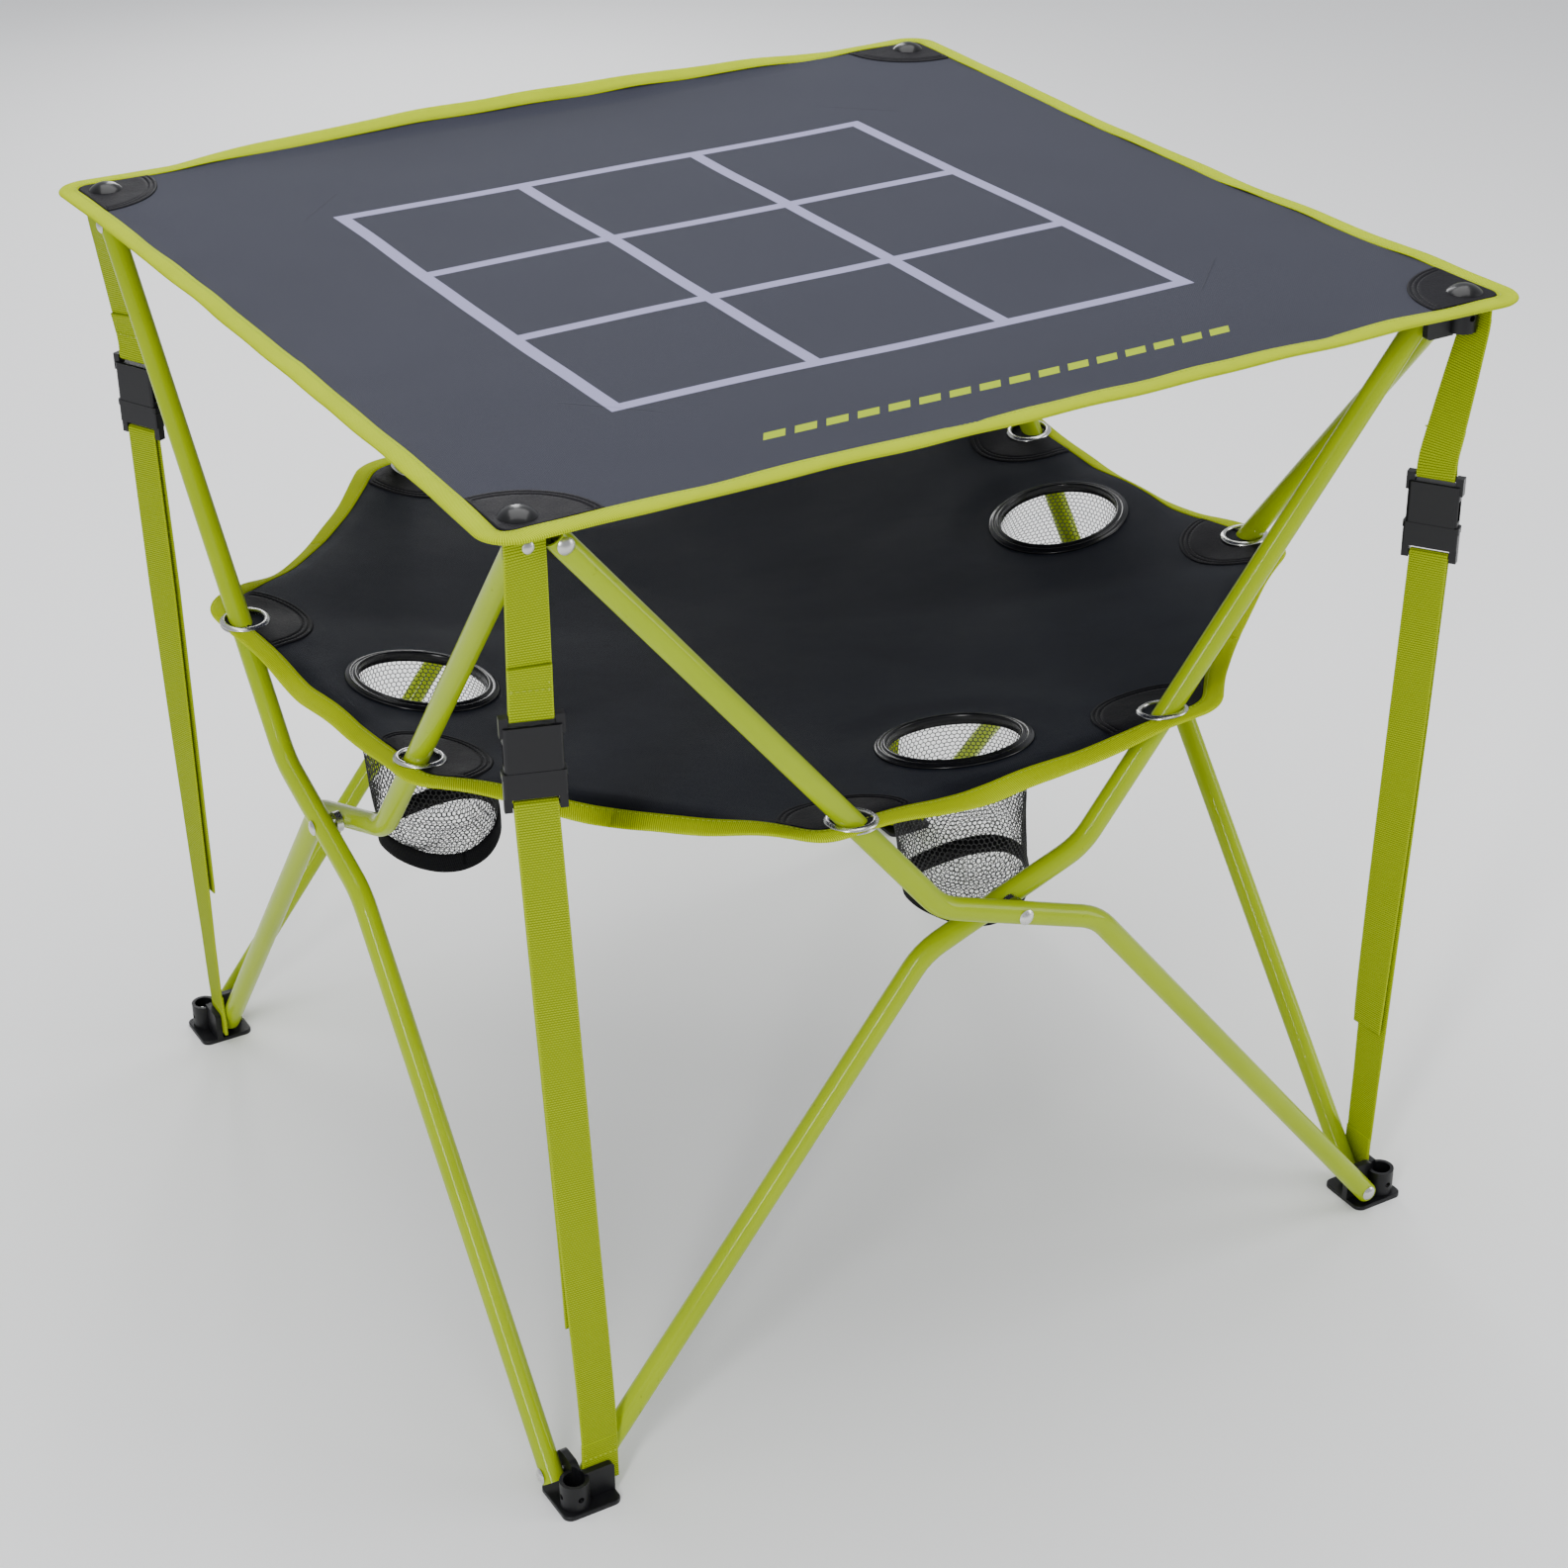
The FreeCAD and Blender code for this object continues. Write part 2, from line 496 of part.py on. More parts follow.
# ---- write one file per node ----
os.makedirs("parts", exist_ok=True)
for name, shape in nodes.items():
    shape.exportStep("parts/" + name + ".step")
    box_now = shape.BoundBox
    print(name, shape.ShapeType, len(shape.Solids), shape.isValid(), round(shape.Volume), round(box_now.ZMin, 1),
          round(box_now.ZMax, 1))
print(len(nodes), "nodes")
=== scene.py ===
# %% [markdown]
# # A folding picnic table
# The table is two sheets of cloth held out by four pairs of crossed steel tubes. The frame, its
# feet, hubs, rivets and buckles arrive as finished solids. This lesson gives those solids their
# finishes, and makes the soft goods: the printed top, the slung shelf with its cup holders, and
# the corner straps. Everything is in metres. Z is up, and side 0 is the front, which looks
# towards -Y.

# %% Load the frame
import math

import bmesh
import bpy
import numpy as np
from mathutils import Matrix, Vector, geometry, noise


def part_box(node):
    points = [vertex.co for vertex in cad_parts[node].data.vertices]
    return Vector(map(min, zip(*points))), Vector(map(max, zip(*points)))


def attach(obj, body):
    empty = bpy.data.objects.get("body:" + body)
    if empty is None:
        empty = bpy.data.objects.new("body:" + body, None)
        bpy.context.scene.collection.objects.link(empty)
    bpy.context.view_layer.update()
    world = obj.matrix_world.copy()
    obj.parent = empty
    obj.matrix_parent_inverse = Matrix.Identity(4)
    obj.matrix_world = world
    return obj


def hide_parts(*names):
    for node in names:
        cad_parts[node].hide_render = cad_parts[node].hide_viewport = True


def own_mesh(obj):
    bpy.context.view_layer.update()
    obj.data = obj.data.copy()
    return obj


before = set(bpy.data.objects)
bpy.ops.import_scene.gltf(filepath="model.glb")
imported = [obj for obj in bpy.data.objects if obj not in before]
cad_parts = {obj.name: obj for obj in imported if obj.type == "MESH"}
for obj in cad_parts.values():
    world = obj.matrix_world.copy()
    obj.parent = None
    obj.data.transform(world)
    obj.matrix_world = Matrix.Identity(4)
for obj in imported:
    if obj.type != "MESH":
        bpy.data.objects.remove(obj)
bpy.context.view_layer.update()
MM = 0.001
SIDES = ("front", "right", "back", "left")
CORNERS = ("front_left", "front_right", "back_right", "back_left")


def rounded(values):
    return [round(v, 4) for v in values]


# %% [markdown]
# ## A small kit for materials
# A procedural material is a chain of nodes. Written node by node it is hard to read, so a small
# class wraps one socket and lets ordinary arithmetic add the Math nodes. A second class holds one
# material with its Principled shader, and has a method for every other kind of node.

# %% Numbers that write their own Math nodes
class Num:
    """One socket's value inside a finish. Arithmetic on it adds Math nodes."""

    def __init__(self, finish, socket):
        self.finish = finish
        self.socket = socket

    def math(self, operation, *others):
        values = dict(enumerate((self, *others)))
        return self.finish.node("ShaderNodeMath", {"operation": operation}, values)

    def __add__(self, other):
        return self.math("ADD", other)

    def __mul__(self, other):
        return self.math("MULTIPLY", other)

    def __sub__(self, other):
        return self.math("SUBTRACT", other)

    def __rsub__(self, other):
        return self.finish.node("ShaderNodeMath", {"operation": "SUBTRACT"}, {0: other, 1: self})

    def __truediv__(self, other):
        return self.math("DIVIDE", other)

    def __pow__(self, other):
        return self.math("POWER", other)

    def __gt__(self, other):
        return self.math("GREATER_THAN", other)

    __radd__ = __add__
    __rmul__ = __mul__


class Finish:
    """A material in the making. Keyword names are the Principled shader's sockets."""

    def __init__(self, title, **constants):
        self.material = bpy.data.materials.new(title)
        self.material.use_nodes = True
        self.tree = self.material.node_tree
        self.tree.nodes.clear()
        self.shader = self.tree.nodes.new("ShaderNodeBsdfPrincipled")
        output = self.tree.nodes.new("ShaderNodeOutputMaterial")
        self.tree.links.new(self.shader.outputs[0], output.inputs[0])
        self.feed(**constants)

    def feed(self, **channels):
        for title, value in channels.items():
            self.put(self.shader.inputs[title.replace("_", " ")], value)

    def put(self, socket, value):
        if isinstance(value, Num):
            self.tree.links.new(value.socket, socket)
        else:
            socket.default_value = value

    def node(self, kind, settings=None, values=None, out=0):
        made = self.tree.nodes.new(kind)
        for title, value in (settings or {}).items():
            setattr(made, title, value)
        for title, value in (values or {}).items():
            self.put(made.inputs[title], value)
        return Num(self, made.outputs[out])

    def place(self):
        return self.node("ShaderNodeTexCoord", out=3)

    def cloth_uv(self):
        return self.node("ShaderNodeUVMap", {"uv_map": "cloth"})

    def split(self, vector):
        made = self.node("ShaderNodeSeparateXYZ", values={0: vector})
        return [Num(self, socket) for socket in made.socket.node.outputs]

    def speckle(self, scale, detail=2.0, where=None):
        values = {"Vector": where or self.place(), "Scale": scale, "Detail": detail}
        return self.node("ShaderNodeTexNoise", values=values)

    def between(self, factor, first, second):
        values = {0: factor, 6: first, 7: second}
        return self.node("ShaderNodeMix", {"data_type": "RGBA"}, values, out=2)

    def limit(self, number, low, high):
        values = {"Value": number, "From Min": low, "From Max": high}
        return self.node("ShaderNodeMapRange", {"interpolation_type": "SMOOTHSTEP"}, values)

    def relief(self, height, depth, under=None):
        values = {"Height": height, "Distance": depth, "Strength": 1.0}
        if under:
            values["Normal"] = under
        return self.node("ShaderNodeBump", values=values)


def paint(red, green, blue):
    """A colour given as it looks on a screen, 0 to 255, as linear light."""
    shares = [c / 255 for c in (red, green, blue)]
    return (*(c / 12.92 if c < 0.0404 else ((c + 0.055) / 1.055) ** 2.4 for c in shares), 1)


LIME = paint(163, 184, 0)
LIME_DEEP = paint(142, 164, 0)
INK = paint(8, 8, 10)
print("material kit ready")

# %% [markdown]
# ## Powder-coated steel
# The tubes are painted with a glossy lime powder. Baked powder flows like a thick varnish, so it
# has a faint orange-peel ripple and a clear, sharp highlight. A coat layer over a slightly rough
# base gives both. Where the tubes rub, small scuffs are duller.

# %% Lime powder coat
def powder_coat():
    finish = Finish("lime_powder_coat", Coat_Roughness=0.05, Coat_IOR=1.38, Specular_IOR_Level=0.08)
    cloudy = finish.speckle(14.0, 3.0)
    rubbed_here = finish.limit(finish.speckle(9.0), 0.5, 0.62)
    scuffs = finish.limit(finish.speckle(260.0, 6.0), 0.66, 0.74) * rubbed_here
    lime = finish.between(cloudy, LIME_DEEP, LIME)
    finish.feed(
        Base_Color=finish.between(scuffs * 0.5, lime, paint(110, 126, 20)),
        Roughness=scuffs * 0.25 + 0.36 + cloudy * 0.06,
        Coat_Weight=0.45 - scuffs * 0.3,
        Normal=finish.relief(finish.speckle(420.0, 1.0), 0.00006),
    )
    return finish.material


# %% [markdown]
# ## Moulded plastics
# Feet, hubs, buckles and cup rims are black nylon. A spark-eroded mould leaves a fine grain on
# the feet and buckles, while the rims are polished. Handling leaves edges and faces unevenly
# shiny.

# %% Black plastics
def moulded(title, roughness, grain_depth):
    finish = Finish(title, Specular_IOR_Level=0.32)
    rubbed = finish.speckle(38.0, 4.0)
    grain = finish.speckle(2600.0, 1.0)
    finish.feed(
        Base_Color=finish.between(rubbed, paint(9, 9, 11), paint(19, 19, 22)),
        Roughness=roughness + rubbed * 0.16 - grain * 0.05,
        Normal=finish.relief(grain + finish.speckle(300.0, 2.0) * 0.8, grain_depth),
    )
    return finish.material


# %% Bare metal, and the hub fasteners that mix metal with black domes
def brushed(finish):
    streaks = finish.speckle(900.0, 4.0)
    worn = finish.speckle(60.0, 3.0)
    return streaks, worn


def steel(title):
    finish = Finish(title, Metallic=1.0)
    streaks, worn = brushed(finish)
    finish.feed(
        Base_Color=finish.between(worn, paint(186, 186, 182), paint(222, 222, 220)),
        Roughness=0.16 + streaks * 0.12 + worn * 0.08,
        Normal=finish.relief(streaks, 0.00002),
    )
    return finish.material


def hub_hardware(dome_from):
    """Steel rivets below the cloth, black lacquered domes above it."""
    finish = Finish("hub_hardware", Specular_IOR_Level=0.25, Coat_Roughness=0.08)
    streaks, worn = brushed(finish)
    domed = finish.split(finish.place())[2] > dome_from
    metal = finish.between(worn, paint(180, 180, 176), paint(214, 214, 212))
    finish.feed(
        Base_Color=finish.between(domed, metal, INK),
        Metallic=1.0 - domed,
        Roughness=0.24 + streaks * 0.10 + domed * 0.02,
        Coat_Weight=domed * 0.2,
        Normal=finish.relief(streaks, 0.00003),
    )
    return finish.material


print("powder coat, plastics and metals ready")

# %% [markdown]
# ## Woven goods
# The webbing is polypropylene. Its face shows rows of slanted floats that lean one way in one row
# and the other way in the next. The pattern follows the strap, so it reads a UV map called cloth,
# which every strap and tape carries in metres: U runs across the band and V along it.

# %% Webbing and tape
WEB_ROW = 1.65 * MM         # one row of floats along the strap
WEB_FLOAT = 1.75 * MM       # one float across it
TAPE_RIB = 1.35 * MM
TAPE_THREAD = 0.9 * MM


def webbing():
    finish = Finish("lime_webbing", Sheen_Weight=0.05, Sheen_Tint=LIME, Specular_IOR_Level=0.12)
    across, along, _ = finish.split(finish.cloth_uv())
    row = along / WEB_ROW
    step = row.math("FRACT")
    lean = 1.0 - row.math("FLOOR").math("MODULO", 2.0).math("ABSOLUTE") * 2.0
    floats = (across / WEB_FLOAT * math.pi + lean * step * 1.5).math("SINE").math("ABSOLUTE")
    mound = (step * math.pi).math("SINE") ** 0.6
    height = mound * (floats * 0.4 + 0.6)
    fuzz = finish.speckle(2200.0, 3.0)
    edge = finish.limit(across.math("ABSOLUTE"), 0.0114, 0.0122)
    # The floats' height sets the colour as well as the relief: painted shade darkens the hollows
    # between the floats, and the fuzz adds random tone.
    painted_shade_and_tone = height * 0.85 + fuzz * 0.15
    tone = finish.between(painted_shade_and_tone, paint(64, 82, 0), paint(172, 192, 0))
    finish.feed(
        Base_Color=finish.between(edge * 0.4, tone, paint(184, 202, 10)),
        Roughness=0.78 - height * 0.16,
        Normal=finish.relief(height + fuzz * 0.2, 0.00045),
    )
    return finish.material


def tape(title, dark, light):
    """Grosgrain binding: fine ribs straight across the tape, a little slanted by the machine."""
    finish = Finish(title, Sheen_Weight=0.05, Sheen_Tint=light, Specular_IOR_Level=0.06)
    across, along, _ = finish.split(finish.cloth_uv())
    ribs = ((along / TAPE_RIB + across * 160.0) * math.pi).math("SINE").math("ABSOLUTE")
    fine = (across / TAPE_THREAD * math.pi).math("SINE").math("ABSOLUTE")
    fuzz = finish.speckle(1800.0, 3.0)
    # The ribs' height also sets the colour: painted shade darkens the grooves between the ribs and
    # the fine threads, and the fuzz and speckle add random tone.
    painted_shade_and_tone = ribs * 0.72 + fine * 0.12 + fuzz * 0.12 + finish.speckle(45.0, 2.0) * 0.16
    finish.feed(
        Base_Color=finish.between(painted_shade_and_tone, dark, light),
        Roughness=0.80 - ribs * 0.12,
        Normal=finish.relief(ribs + fine * 0.3 + fuzz * 0.3, 0.00036),
    )
    return finish.material


# %% [markdown]
# The canvas is plain-woven polyester. Warp and weft are two half-round profiles, and a checker
# decides which one is on top, so the relief is right in close views and fades to a soft grain
# further off.

# %% Canvas weave
def weave(across, along, pitch):
    """The height of a plain weave, 0 to 1."""
    warp, weft = across / pitch, along / pitch
    over = (warp.math("FLOOR") + weft.math("FLOOR")).math("MODULO", 2.0).math("ABSOLUTE")
    warp_up = (warp.math("FRACT") * math.pi).math("SINE")
    weft_up = (weft.math("FRACT") * math.pi).math("SINE")
    warp_on_top = over * warp_up * (weft_up * 0.4 + 0.6)
    return warp_on_top + (1.0 - over) * weft_up * (warp_up * 0.4 + 0.6)


# %% The printed top cloth
GAME_CENTRE = (-0.0095, -0.0165)      # middle of the printed three-by-three game
GAME_HALF = (0.2000, 0.1985)
LINE_HALF = 0.0047
RULE_Y = -0.2955                      # a plain printed rule along the front edge
RULE_PITCH = 0.0206
RULE_HALF = 0.0042
CANVAS_PITCH = 0.85 * MM
TWILL_PITCH = 1.7 * MM
CREASE_AT = 0.424                     # where a crease crosses each diagonal, as |x| + |y|
INK_BLEED = 0.2 * MM


def line_mask(position, at, half):
    away = (position - at).math("ABSOLUTE")
    return position.finish.limit(away, half + INK_BLEED, half - INK_BLEED)


def printed_canvas():
    finish = Finish(
        "printed_canvas", Sheen_Weight=0.04, Sheen_Roughness=0.45, Specular_IOR_Level=0.15)
    x, y, _ = finish.split(finish.place())
    bow = finish.speckle(6.0, 1.0) * 0.0050 - 0.0025
    bowed = (x + bow, y + bow)
    lines = None
    for row in range(4):
        for axis in (0, 1):
            at = GAME_CENTRE[axis] + GAME_HALF[axis] * (row / 1.5 - 1)
            over = 1 - axis
            line = line_mask(bowed[axis], at, LINE_HALF) * line_mask(
                bowed[over], GAME_CENTRE[over], GAME_HALF[over] + LINE_HALF)
            lines = lines.math("MAXIMUM", line) if lines else line
    slant = x - (y - RULE_Y) * 0.6
    dash = ((slant / RULE_PITCH + 40).math("FRACT") > 0.30) * line_mask(y, RULE_Y, RULE_HALF)
    rule = dash * line_mask(slant, RULE_PITCH * 0.15, RULE_PITCH * 7.84)
    twill = ((x + y) / TWILL_PITCH).math("FRACT").math("PINGPONG", 0.5) * 2.0
    threads = weave(x, y, CANVAS_PITCH) * 0.6 + twill * 0.4
    fade = finish.speckle(7.0, 4.0)
    slub = finish.speckle(700.0, 3.0)
    # The weave's height sets part of the colour: painted shade darkens the hollows of the weave in
    # the cloth and in both inks, while slub and fade are random tone.
    painted_shade_and_tone = threads * 0.55 + slub * 0.30 + fade * 0.15
    cloth = finish.between(painted_shade_and_tone, paint(33, 34, 43), paint(58, 60, 73))
    ink = finish.between(threads * 0.4 + slub * 0.3, paint(140, 138, 172), paint(164, 162, 196))
    lime_ink = finish.between(threads * 0.5, paint(150, 172, 0), paint(182, 204, 0))
    far_x, far_y = x.math("ABSOLUTE"), y.math("ABSOLUTE")
    off_crease = (far_x + far_y - CREASE_AT).math("ABSOLUTE")
    off_diagonal = (far_x - far_y).math("ABSOLUTE")
    crease = finish.limit(off_crease, 0.0011, 0.0) * finish.limit(off_diagonal, 0.050, 0.034)
    woven = finish.relief(threads, 0.00022)
    folded = finish.relief(finish.speckle(3.6, 2.0), 0.006, woven)
    finish.feed(
        Base_Color=finish.between(rule, finish.between(lines, cloth, ink), lime_ink),
        Roughness=0.74 - lines * 0.10 + slub * 0.10,
        Normal=finish.relief(crease * 0.6, 0.0007, folded),
    )
    return finish.material


# %% The shelf cloth, vinyl patches, threads and netting
def coated_canvas():
    """Tightly woven cloth with a rubbery coating, darker and shinier than the top."""
    bluish = paint(120, 140, 190)
    finish = Finish("coated_canvas", Sheen_Weight=0.05, Sheen_Tint=bluish, Specular_IOR_Level=0.16)
    x, y, _ = finish.split(finish.place())
    threads = weave(x, y, 0.00075)
    soft = finish.speckle(9.0, 4.0)
    slub = finish.speckle(900.0, 3.0)
    # Painted shade: the cloth is darker in the weave's hollows and in the low parts of the soft
    # folds that the same noise raises in the relief; slub is random tone.
    painted_shade_and_tone = threads * 0.4 + slub * 0.3 + soft * 0.3
    finish.feed(
        Base_Color=finish.between(painted_shade_and_tone, paint(7, 7, 11), paint(17, 19, 27)),
        Roughness=0.56 + soft * 0.14,
        Normal=finish.relief(soft, 0.004, finish.relief(threads + slub * 0.4, 0.00018)),
    )
    return finish.material


def vinyl():
    """Black upholstery vinyl with a pebbled grain."""
    finish = Finish("black_vinyl", Specular_IOR_Level=0.12)
    cells = {"Vector": finish.place(), "Scale": 900.0}
    pebbles = finish.node("ShaderNodeTexVoronoi", {"feature": "SMOOTH_F1"}, cells)
    creases = finish.speckle(70.0, 5.0)
    # The creases darken the colour where their relief is low: painted shade in the creases.
    finish.feed(
        Base_Color=finish.between(creases, paint(9, 8, 12), paint(19, 18, 24)),
        Roughness=0.50 + creases * 0.14 + pebbles * 0.1,
        Normal=finish.relief(creases * 3.0 + pebbles, 0.00018),
    )
    return finish.material


def yarn(title, dark, light):
    finish = Finish(title, Sheen_Weight=0.2)
    twist = finish.speckle(3000.0, 2.0)
    # The same noise sets the colour and the relief, so the low spots of the twist are darker:
    # painted shade.
    finish.feed(
        Base_Color=finish.between(twist, dark, light),
        Roughness=0.62 + twist * 0.2,
        Normal=finish.relief(twist, 0.0001),
    )
    return finish.material


COAT = powder_coat()
NYLON = moulded("black_nylon", 0.36, 0.00006)
ACETAL = moulded("black_acetal", 0.30, 0.00004)
GLOSS = moulded("polished_black", 0.18, 0.00002)
STEEL = steel("bright_steel")
DOME_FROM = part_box("top_corner_patches")[1].z + 0.00005
HARDWARE = hub_hardware(DOME_FROM)
WEB = webbing()
TAPE = tape("lime_tape", paint(98, 116, 0), paint(200, 218, 0))
BLACK_TAPE = tape("black_tape", paint(7, 7, 8), paint(24, 24, 26))
PRINTED = printed_canvas()
COATED = coated_canvas()
VINYL = vinyl()
LIME_YARN = yarn("lime_yarn", paint(130, 152, 0), paint(196, 214, 20))
BLACK_YARN = yarn("black_yarn", paint(8, 8, 9), paint(26, 26, 29))
print("materials", len(bpy.data.materials))

# %% [markdown]
# ## Finishing the frame
# The tubes, mouldings, fasteners and buckles already have their true shapes, so they only take a
# finish. Their meshes are left alone.

# %% Finishes on the frame's own solids
def dress(node, material):
    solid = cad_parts[node]
    if not solid.material_slots:
        solid.data.materials.append(material)
    for slot in solid.material_slots:
        slot.material = material


FRAME_FINISHES = (
    (SIDES, {"tube_outer_": COAT, "tube_inner_": COAT, "crossing_pivot_": STEEL}),
    (CORNERS, {"foot_": NYLON, "hub_": NYLON, "foot_rivets_": STEEL, "hub_fasteners_": HARDWARE,
               "buckle_male_": ACETAL, "buckle_female_": ACETAL}),
)
for places, finishes in FRAME_FINISHES:
    for place in places:
        for node, material in finishes.items():
            dress(node + place, material)
print("frame solids dressed")

# %% [markdown]
# ## Mesh helpers
# Most soft pieces are one of two things: a band, which is a closed profile swept through
# stations, or a sheet, which is a flat outline filled with triangles and then lifted on to a
# curved surface. The table repeats every quarter turn, so each piece is worked out for the front
# and then turned.

# %% Pieces, bands and sheets
def turn(point, k):
    """The point after k quarter turns about the vertical axis."""
    x, y, z = point
    for _ in range(k % 4):
        x, y = -y, x
    return Vector((x, y, z))


def lifted(x, y, k, height):
    """The point of a sheet at (x, y), after k quarter turns."""
    spot = turn((x, y, 0), k)
    spot.z = height(spot.x, spot.y)
    return spot


def on_circle(middle, radius, angle):
    return middle[0] + radius * math.cos(angle), middle[1] + radius * math.sin(angle)


def piece(title, points, faces, material, uv=None):
    mesh = bpy.data.meshes.new(title)
    mesh.from_pydata([tuple(p) for p in points], [], faces)
    mesh.materials.append(material)
    mesh.shade_smooth()
    if uv is not None:
        layer = mesh.uv_layers.new(name="cloth")
        corners = np.zeros(len(mesh.loops), int)
        mesh.loops.foreach_get("vertex_index", corners)
        layer.data.foreach_set("uv", np.array(uv, np.float32)[corners].ravel())
    mesh.validate()
    made = bpy.data.objects.new(title, mesh)
    bpy.context.scene.collection.objects.link(made)
    return made


def band(stations, profile, closed=False):
    """Sweeps a closed profile of (out, up, u) through stations of (origin, out, up, v)."""
    points, uv, faces = [], [], []
    for origin, out, up, v in stations:
        for a, b, u in profile:
            points.append(origin + out * a + up * b)
            uv.append((u, v))
    n, rows = len(profile), len(stations)
    for i in range(rows if closed else rows - 1):
        here, there = i * n, (i + 1) % rows * n
        for j in range(n):
            faces.append((here + j, here + (j + 1) % n, there + (j + 1) % n, there + j))
    if not closed:
        faces.append(tuple(range(n - 1, -1, -1)))
        faces.append(tuple(range((rows - 1) * n, rows * n)))
    return points, faces, uv


def outward(made):
    """Makes a closed piece's faces point out of it."""
    shell = bmesh.new()
    shell.from_mesh(made.data)
    bmesh.ops.recalc_face_normals(shell, faces=shell.faces)
    if shell.calc_volume(signed=True) < 0:
        bmesh.ops.reverse_faces(shell, faces=shell.faces)
    shell.to_mesh(made.data)
    shell.free()
    return made


INSETS = (6.5, 13, 17, 21.5, 26)      # rows of points in from an edge, in millimetres
SPACING = 9 * MM                      # between the points of a sheet


def inset_rows(edge):
    """Rows of points parallel to an edge, each opposite a point of it, so cloth bends cleanly."""
    rows = []
    for inset in INSETS:
        for i in range(2, len(edge) - 2):
            (x0, y0), (x1, y1) = edge[i - 1], edge[i + 1]
            long = math.hypot(x1 - x0, y1 - y0)
            x, y = edge[i]
            spot = (x - (y1 - y0) / long * inset * MM, y + (x1 - x0) / long * inset * MM)
            in_quarter = abs(spot[0]) < -spot[1] - 2 * MM
            if in_quarter and all(math.dist(spot, p) > 2.5 * MM for p in rows[-3:]):
                rows.append(spot)
    return rows


def fill(outline, rows, hole=None):
    """Triangles over a flat outline, with an optional round hole given as (x, y, radius)."""
    loops = [outline]
    if hole:
        loops.append([on_circle(hole, hole[2], 2 * math.pi * i / 72) for i in range(72)])
    ring = np.array(outline)
    taken = np.array(outline + rows)
    low, high = ring.min(0), ring.max(0)
    inside = [p for p in rows if in_ring(*p, ring)]
    for x in np.arange(low[0] + SPACING / 2, high[0], SPACING):
        for y in np.arange(low[1] + SPACING / 2, high[1], SPACING):
            near = np.min(np.hypot(taken[:, 0] - x, taken[:, 1] - y))
            clear = not hole or math.hypot(x - hole[0], y - hole[1]) > hole[2] + SPACING * 0.5
            if clear and near > SPACING * 0.5 and in_ring(x, y, ring):
                inside.append((x, y))
    spots = [Vector(p) for loop in loops for p in loop] + [Vector(p) for p in inside]
    starts = np.cumsum([0] + [len(loop) for loop in loops])
    frames = [list(range(starts[i], starts[i + 1])) for i in range(len(loops))]
    flat, _, faces, *_ = geometry.delaunay_2d_cdt(spots, [], frames, 1, 1e-7)
    if hole:
        middles = [sum((flat[i] for i in f), Vector((0, 0))) / len(f) for f in faces]
        away = [math.hypot(m.x - hole[0], m.y - hole[1]) for m in middles]
        faces = [f for f, far in zip(faces, away) if far > hole[2] * 0.985]
    return flat, faces


def in_ring(x, y, ring):
    x0, y0 = ring[:, 0], ring[:, 1]
    x1, y1 = np.roll(x0, -1), np.roll(y0, -1)
    cross = (y0 > y) != (y1 > y)
    at = x0 + (y - y0) / np.where(cross, y1 - y0, 1) * (x1 - x0)
    return bool(np.sum(cross & (x < at)) % 2)


def surface_normal(height, x, y, step=0.002):
    slope_x = (height(x + step, y) - height(x - step, y)) / (2 * step)
    slope_y = (height(x, y + step) - height(x, y - step)) / (2 * step)
    return Vector((-slope_x, -slope_y, 1)).normalized()


def cloth(title, flat, faces, k, height, thick, material):
    """A sheet of cloth k quarter turns round, on the surface height(x, y), closed at its edges."""
    middle = [lifted(*p, k, height) for p in flat]
    normals = [surface_normal(height, p.x, p.y) for p in middle]
    top = [m + n * (thick / 2) for m, n in zip(middle, normals)]
    base = [m + n * (-thick / 2) for m, n in zip(middle, normals)]
    count = len(middle)
    faces = [tuple(f) if winding(flat, f) > 0 else tuple(reversed(f)) for f in faces]
    edges = dict.fromkeys(edge for f in faces for edge in zip(f, f[1:] + f[:1]))
    walls = [(b, a, a + count, b + count) for a, b in edges if (b, a) not in edges]
    under = [tuple(i + count for i in reversed(f)) for f in faces]
    made = piece(title, top + base, faces + under + walls, material)
    sides = [tuple(n) for n in normals] + [tuple(-n) for n in normals]
    made.data.normals_split_custom_set_from_vertices(sides)
    return made


def winding(flat, face):
    """Twice the face's area, negative when its corners run clockwise."""
    pairs = zip(face, face[1:] + face[:1])
    return sum(flat[a][0] * flat[b][1] - flat[b][0] * flat[a][1] for a, b in pairs)


print("mesh helpers ready")

# %% [markdown]
# ## Thread and netting with Geometry Nodes
# Stitches and net strands repeat along a path. One node tree lays a small capsule of thread at
# every pitch along a line, turned to follow it. Another gives every edge of a mesh a round
# strand. Both end in Realize Instances and Set Material, and the result is turned into a plain
# mesh.

# %% Build the node trees
def new_tree(title, **sizes):
    tree = bpy.data.node_groups.new(title, "GeometryNodeTree")

    def socket(label, kind, in_out="INPUT"):
        return tree.interface.new_socket(label, in_out=in_out, socket_type="NodeSocket" + kind)

    socket("Geometry", "Geometry")
    for label, value in sizes.items():
        socket(label.replace("_", " "), "Float").default_value = value
    socket("Finish", "Material")
    socket("Geometry", "Geometry", "OUTPUT")
    return tree, tree.nodes.new("NodeGroupInput"), tree.nodes.new("NodeGroupOutput")


def chain(tree, kind, links, **settings):
    made = tree.nodes.new(kind)
    for label, value in settings.items():
        setattr(made, label, value)
    for label, value in links.items():
        if isinstance(value, bpy.types.NodeSocket):
            tree.links.new(value, made.inputs[label])
        else:
            made.inputs[label].default_value = value
    return made


def close_tree(tree, entry, exit_node, shape):
    real = chain(tree, "GeometryNodeRealizeInstances", {"Geometry": shape})
    painted = chain(tree, "GeometryNodeSetMaterial", {
        "Geometry": real.outputs[0], "Material": entry.outputs["Finish"]})
    tree.links.new(painted.outputs[0], exit_node.inputs[0])
    return tree


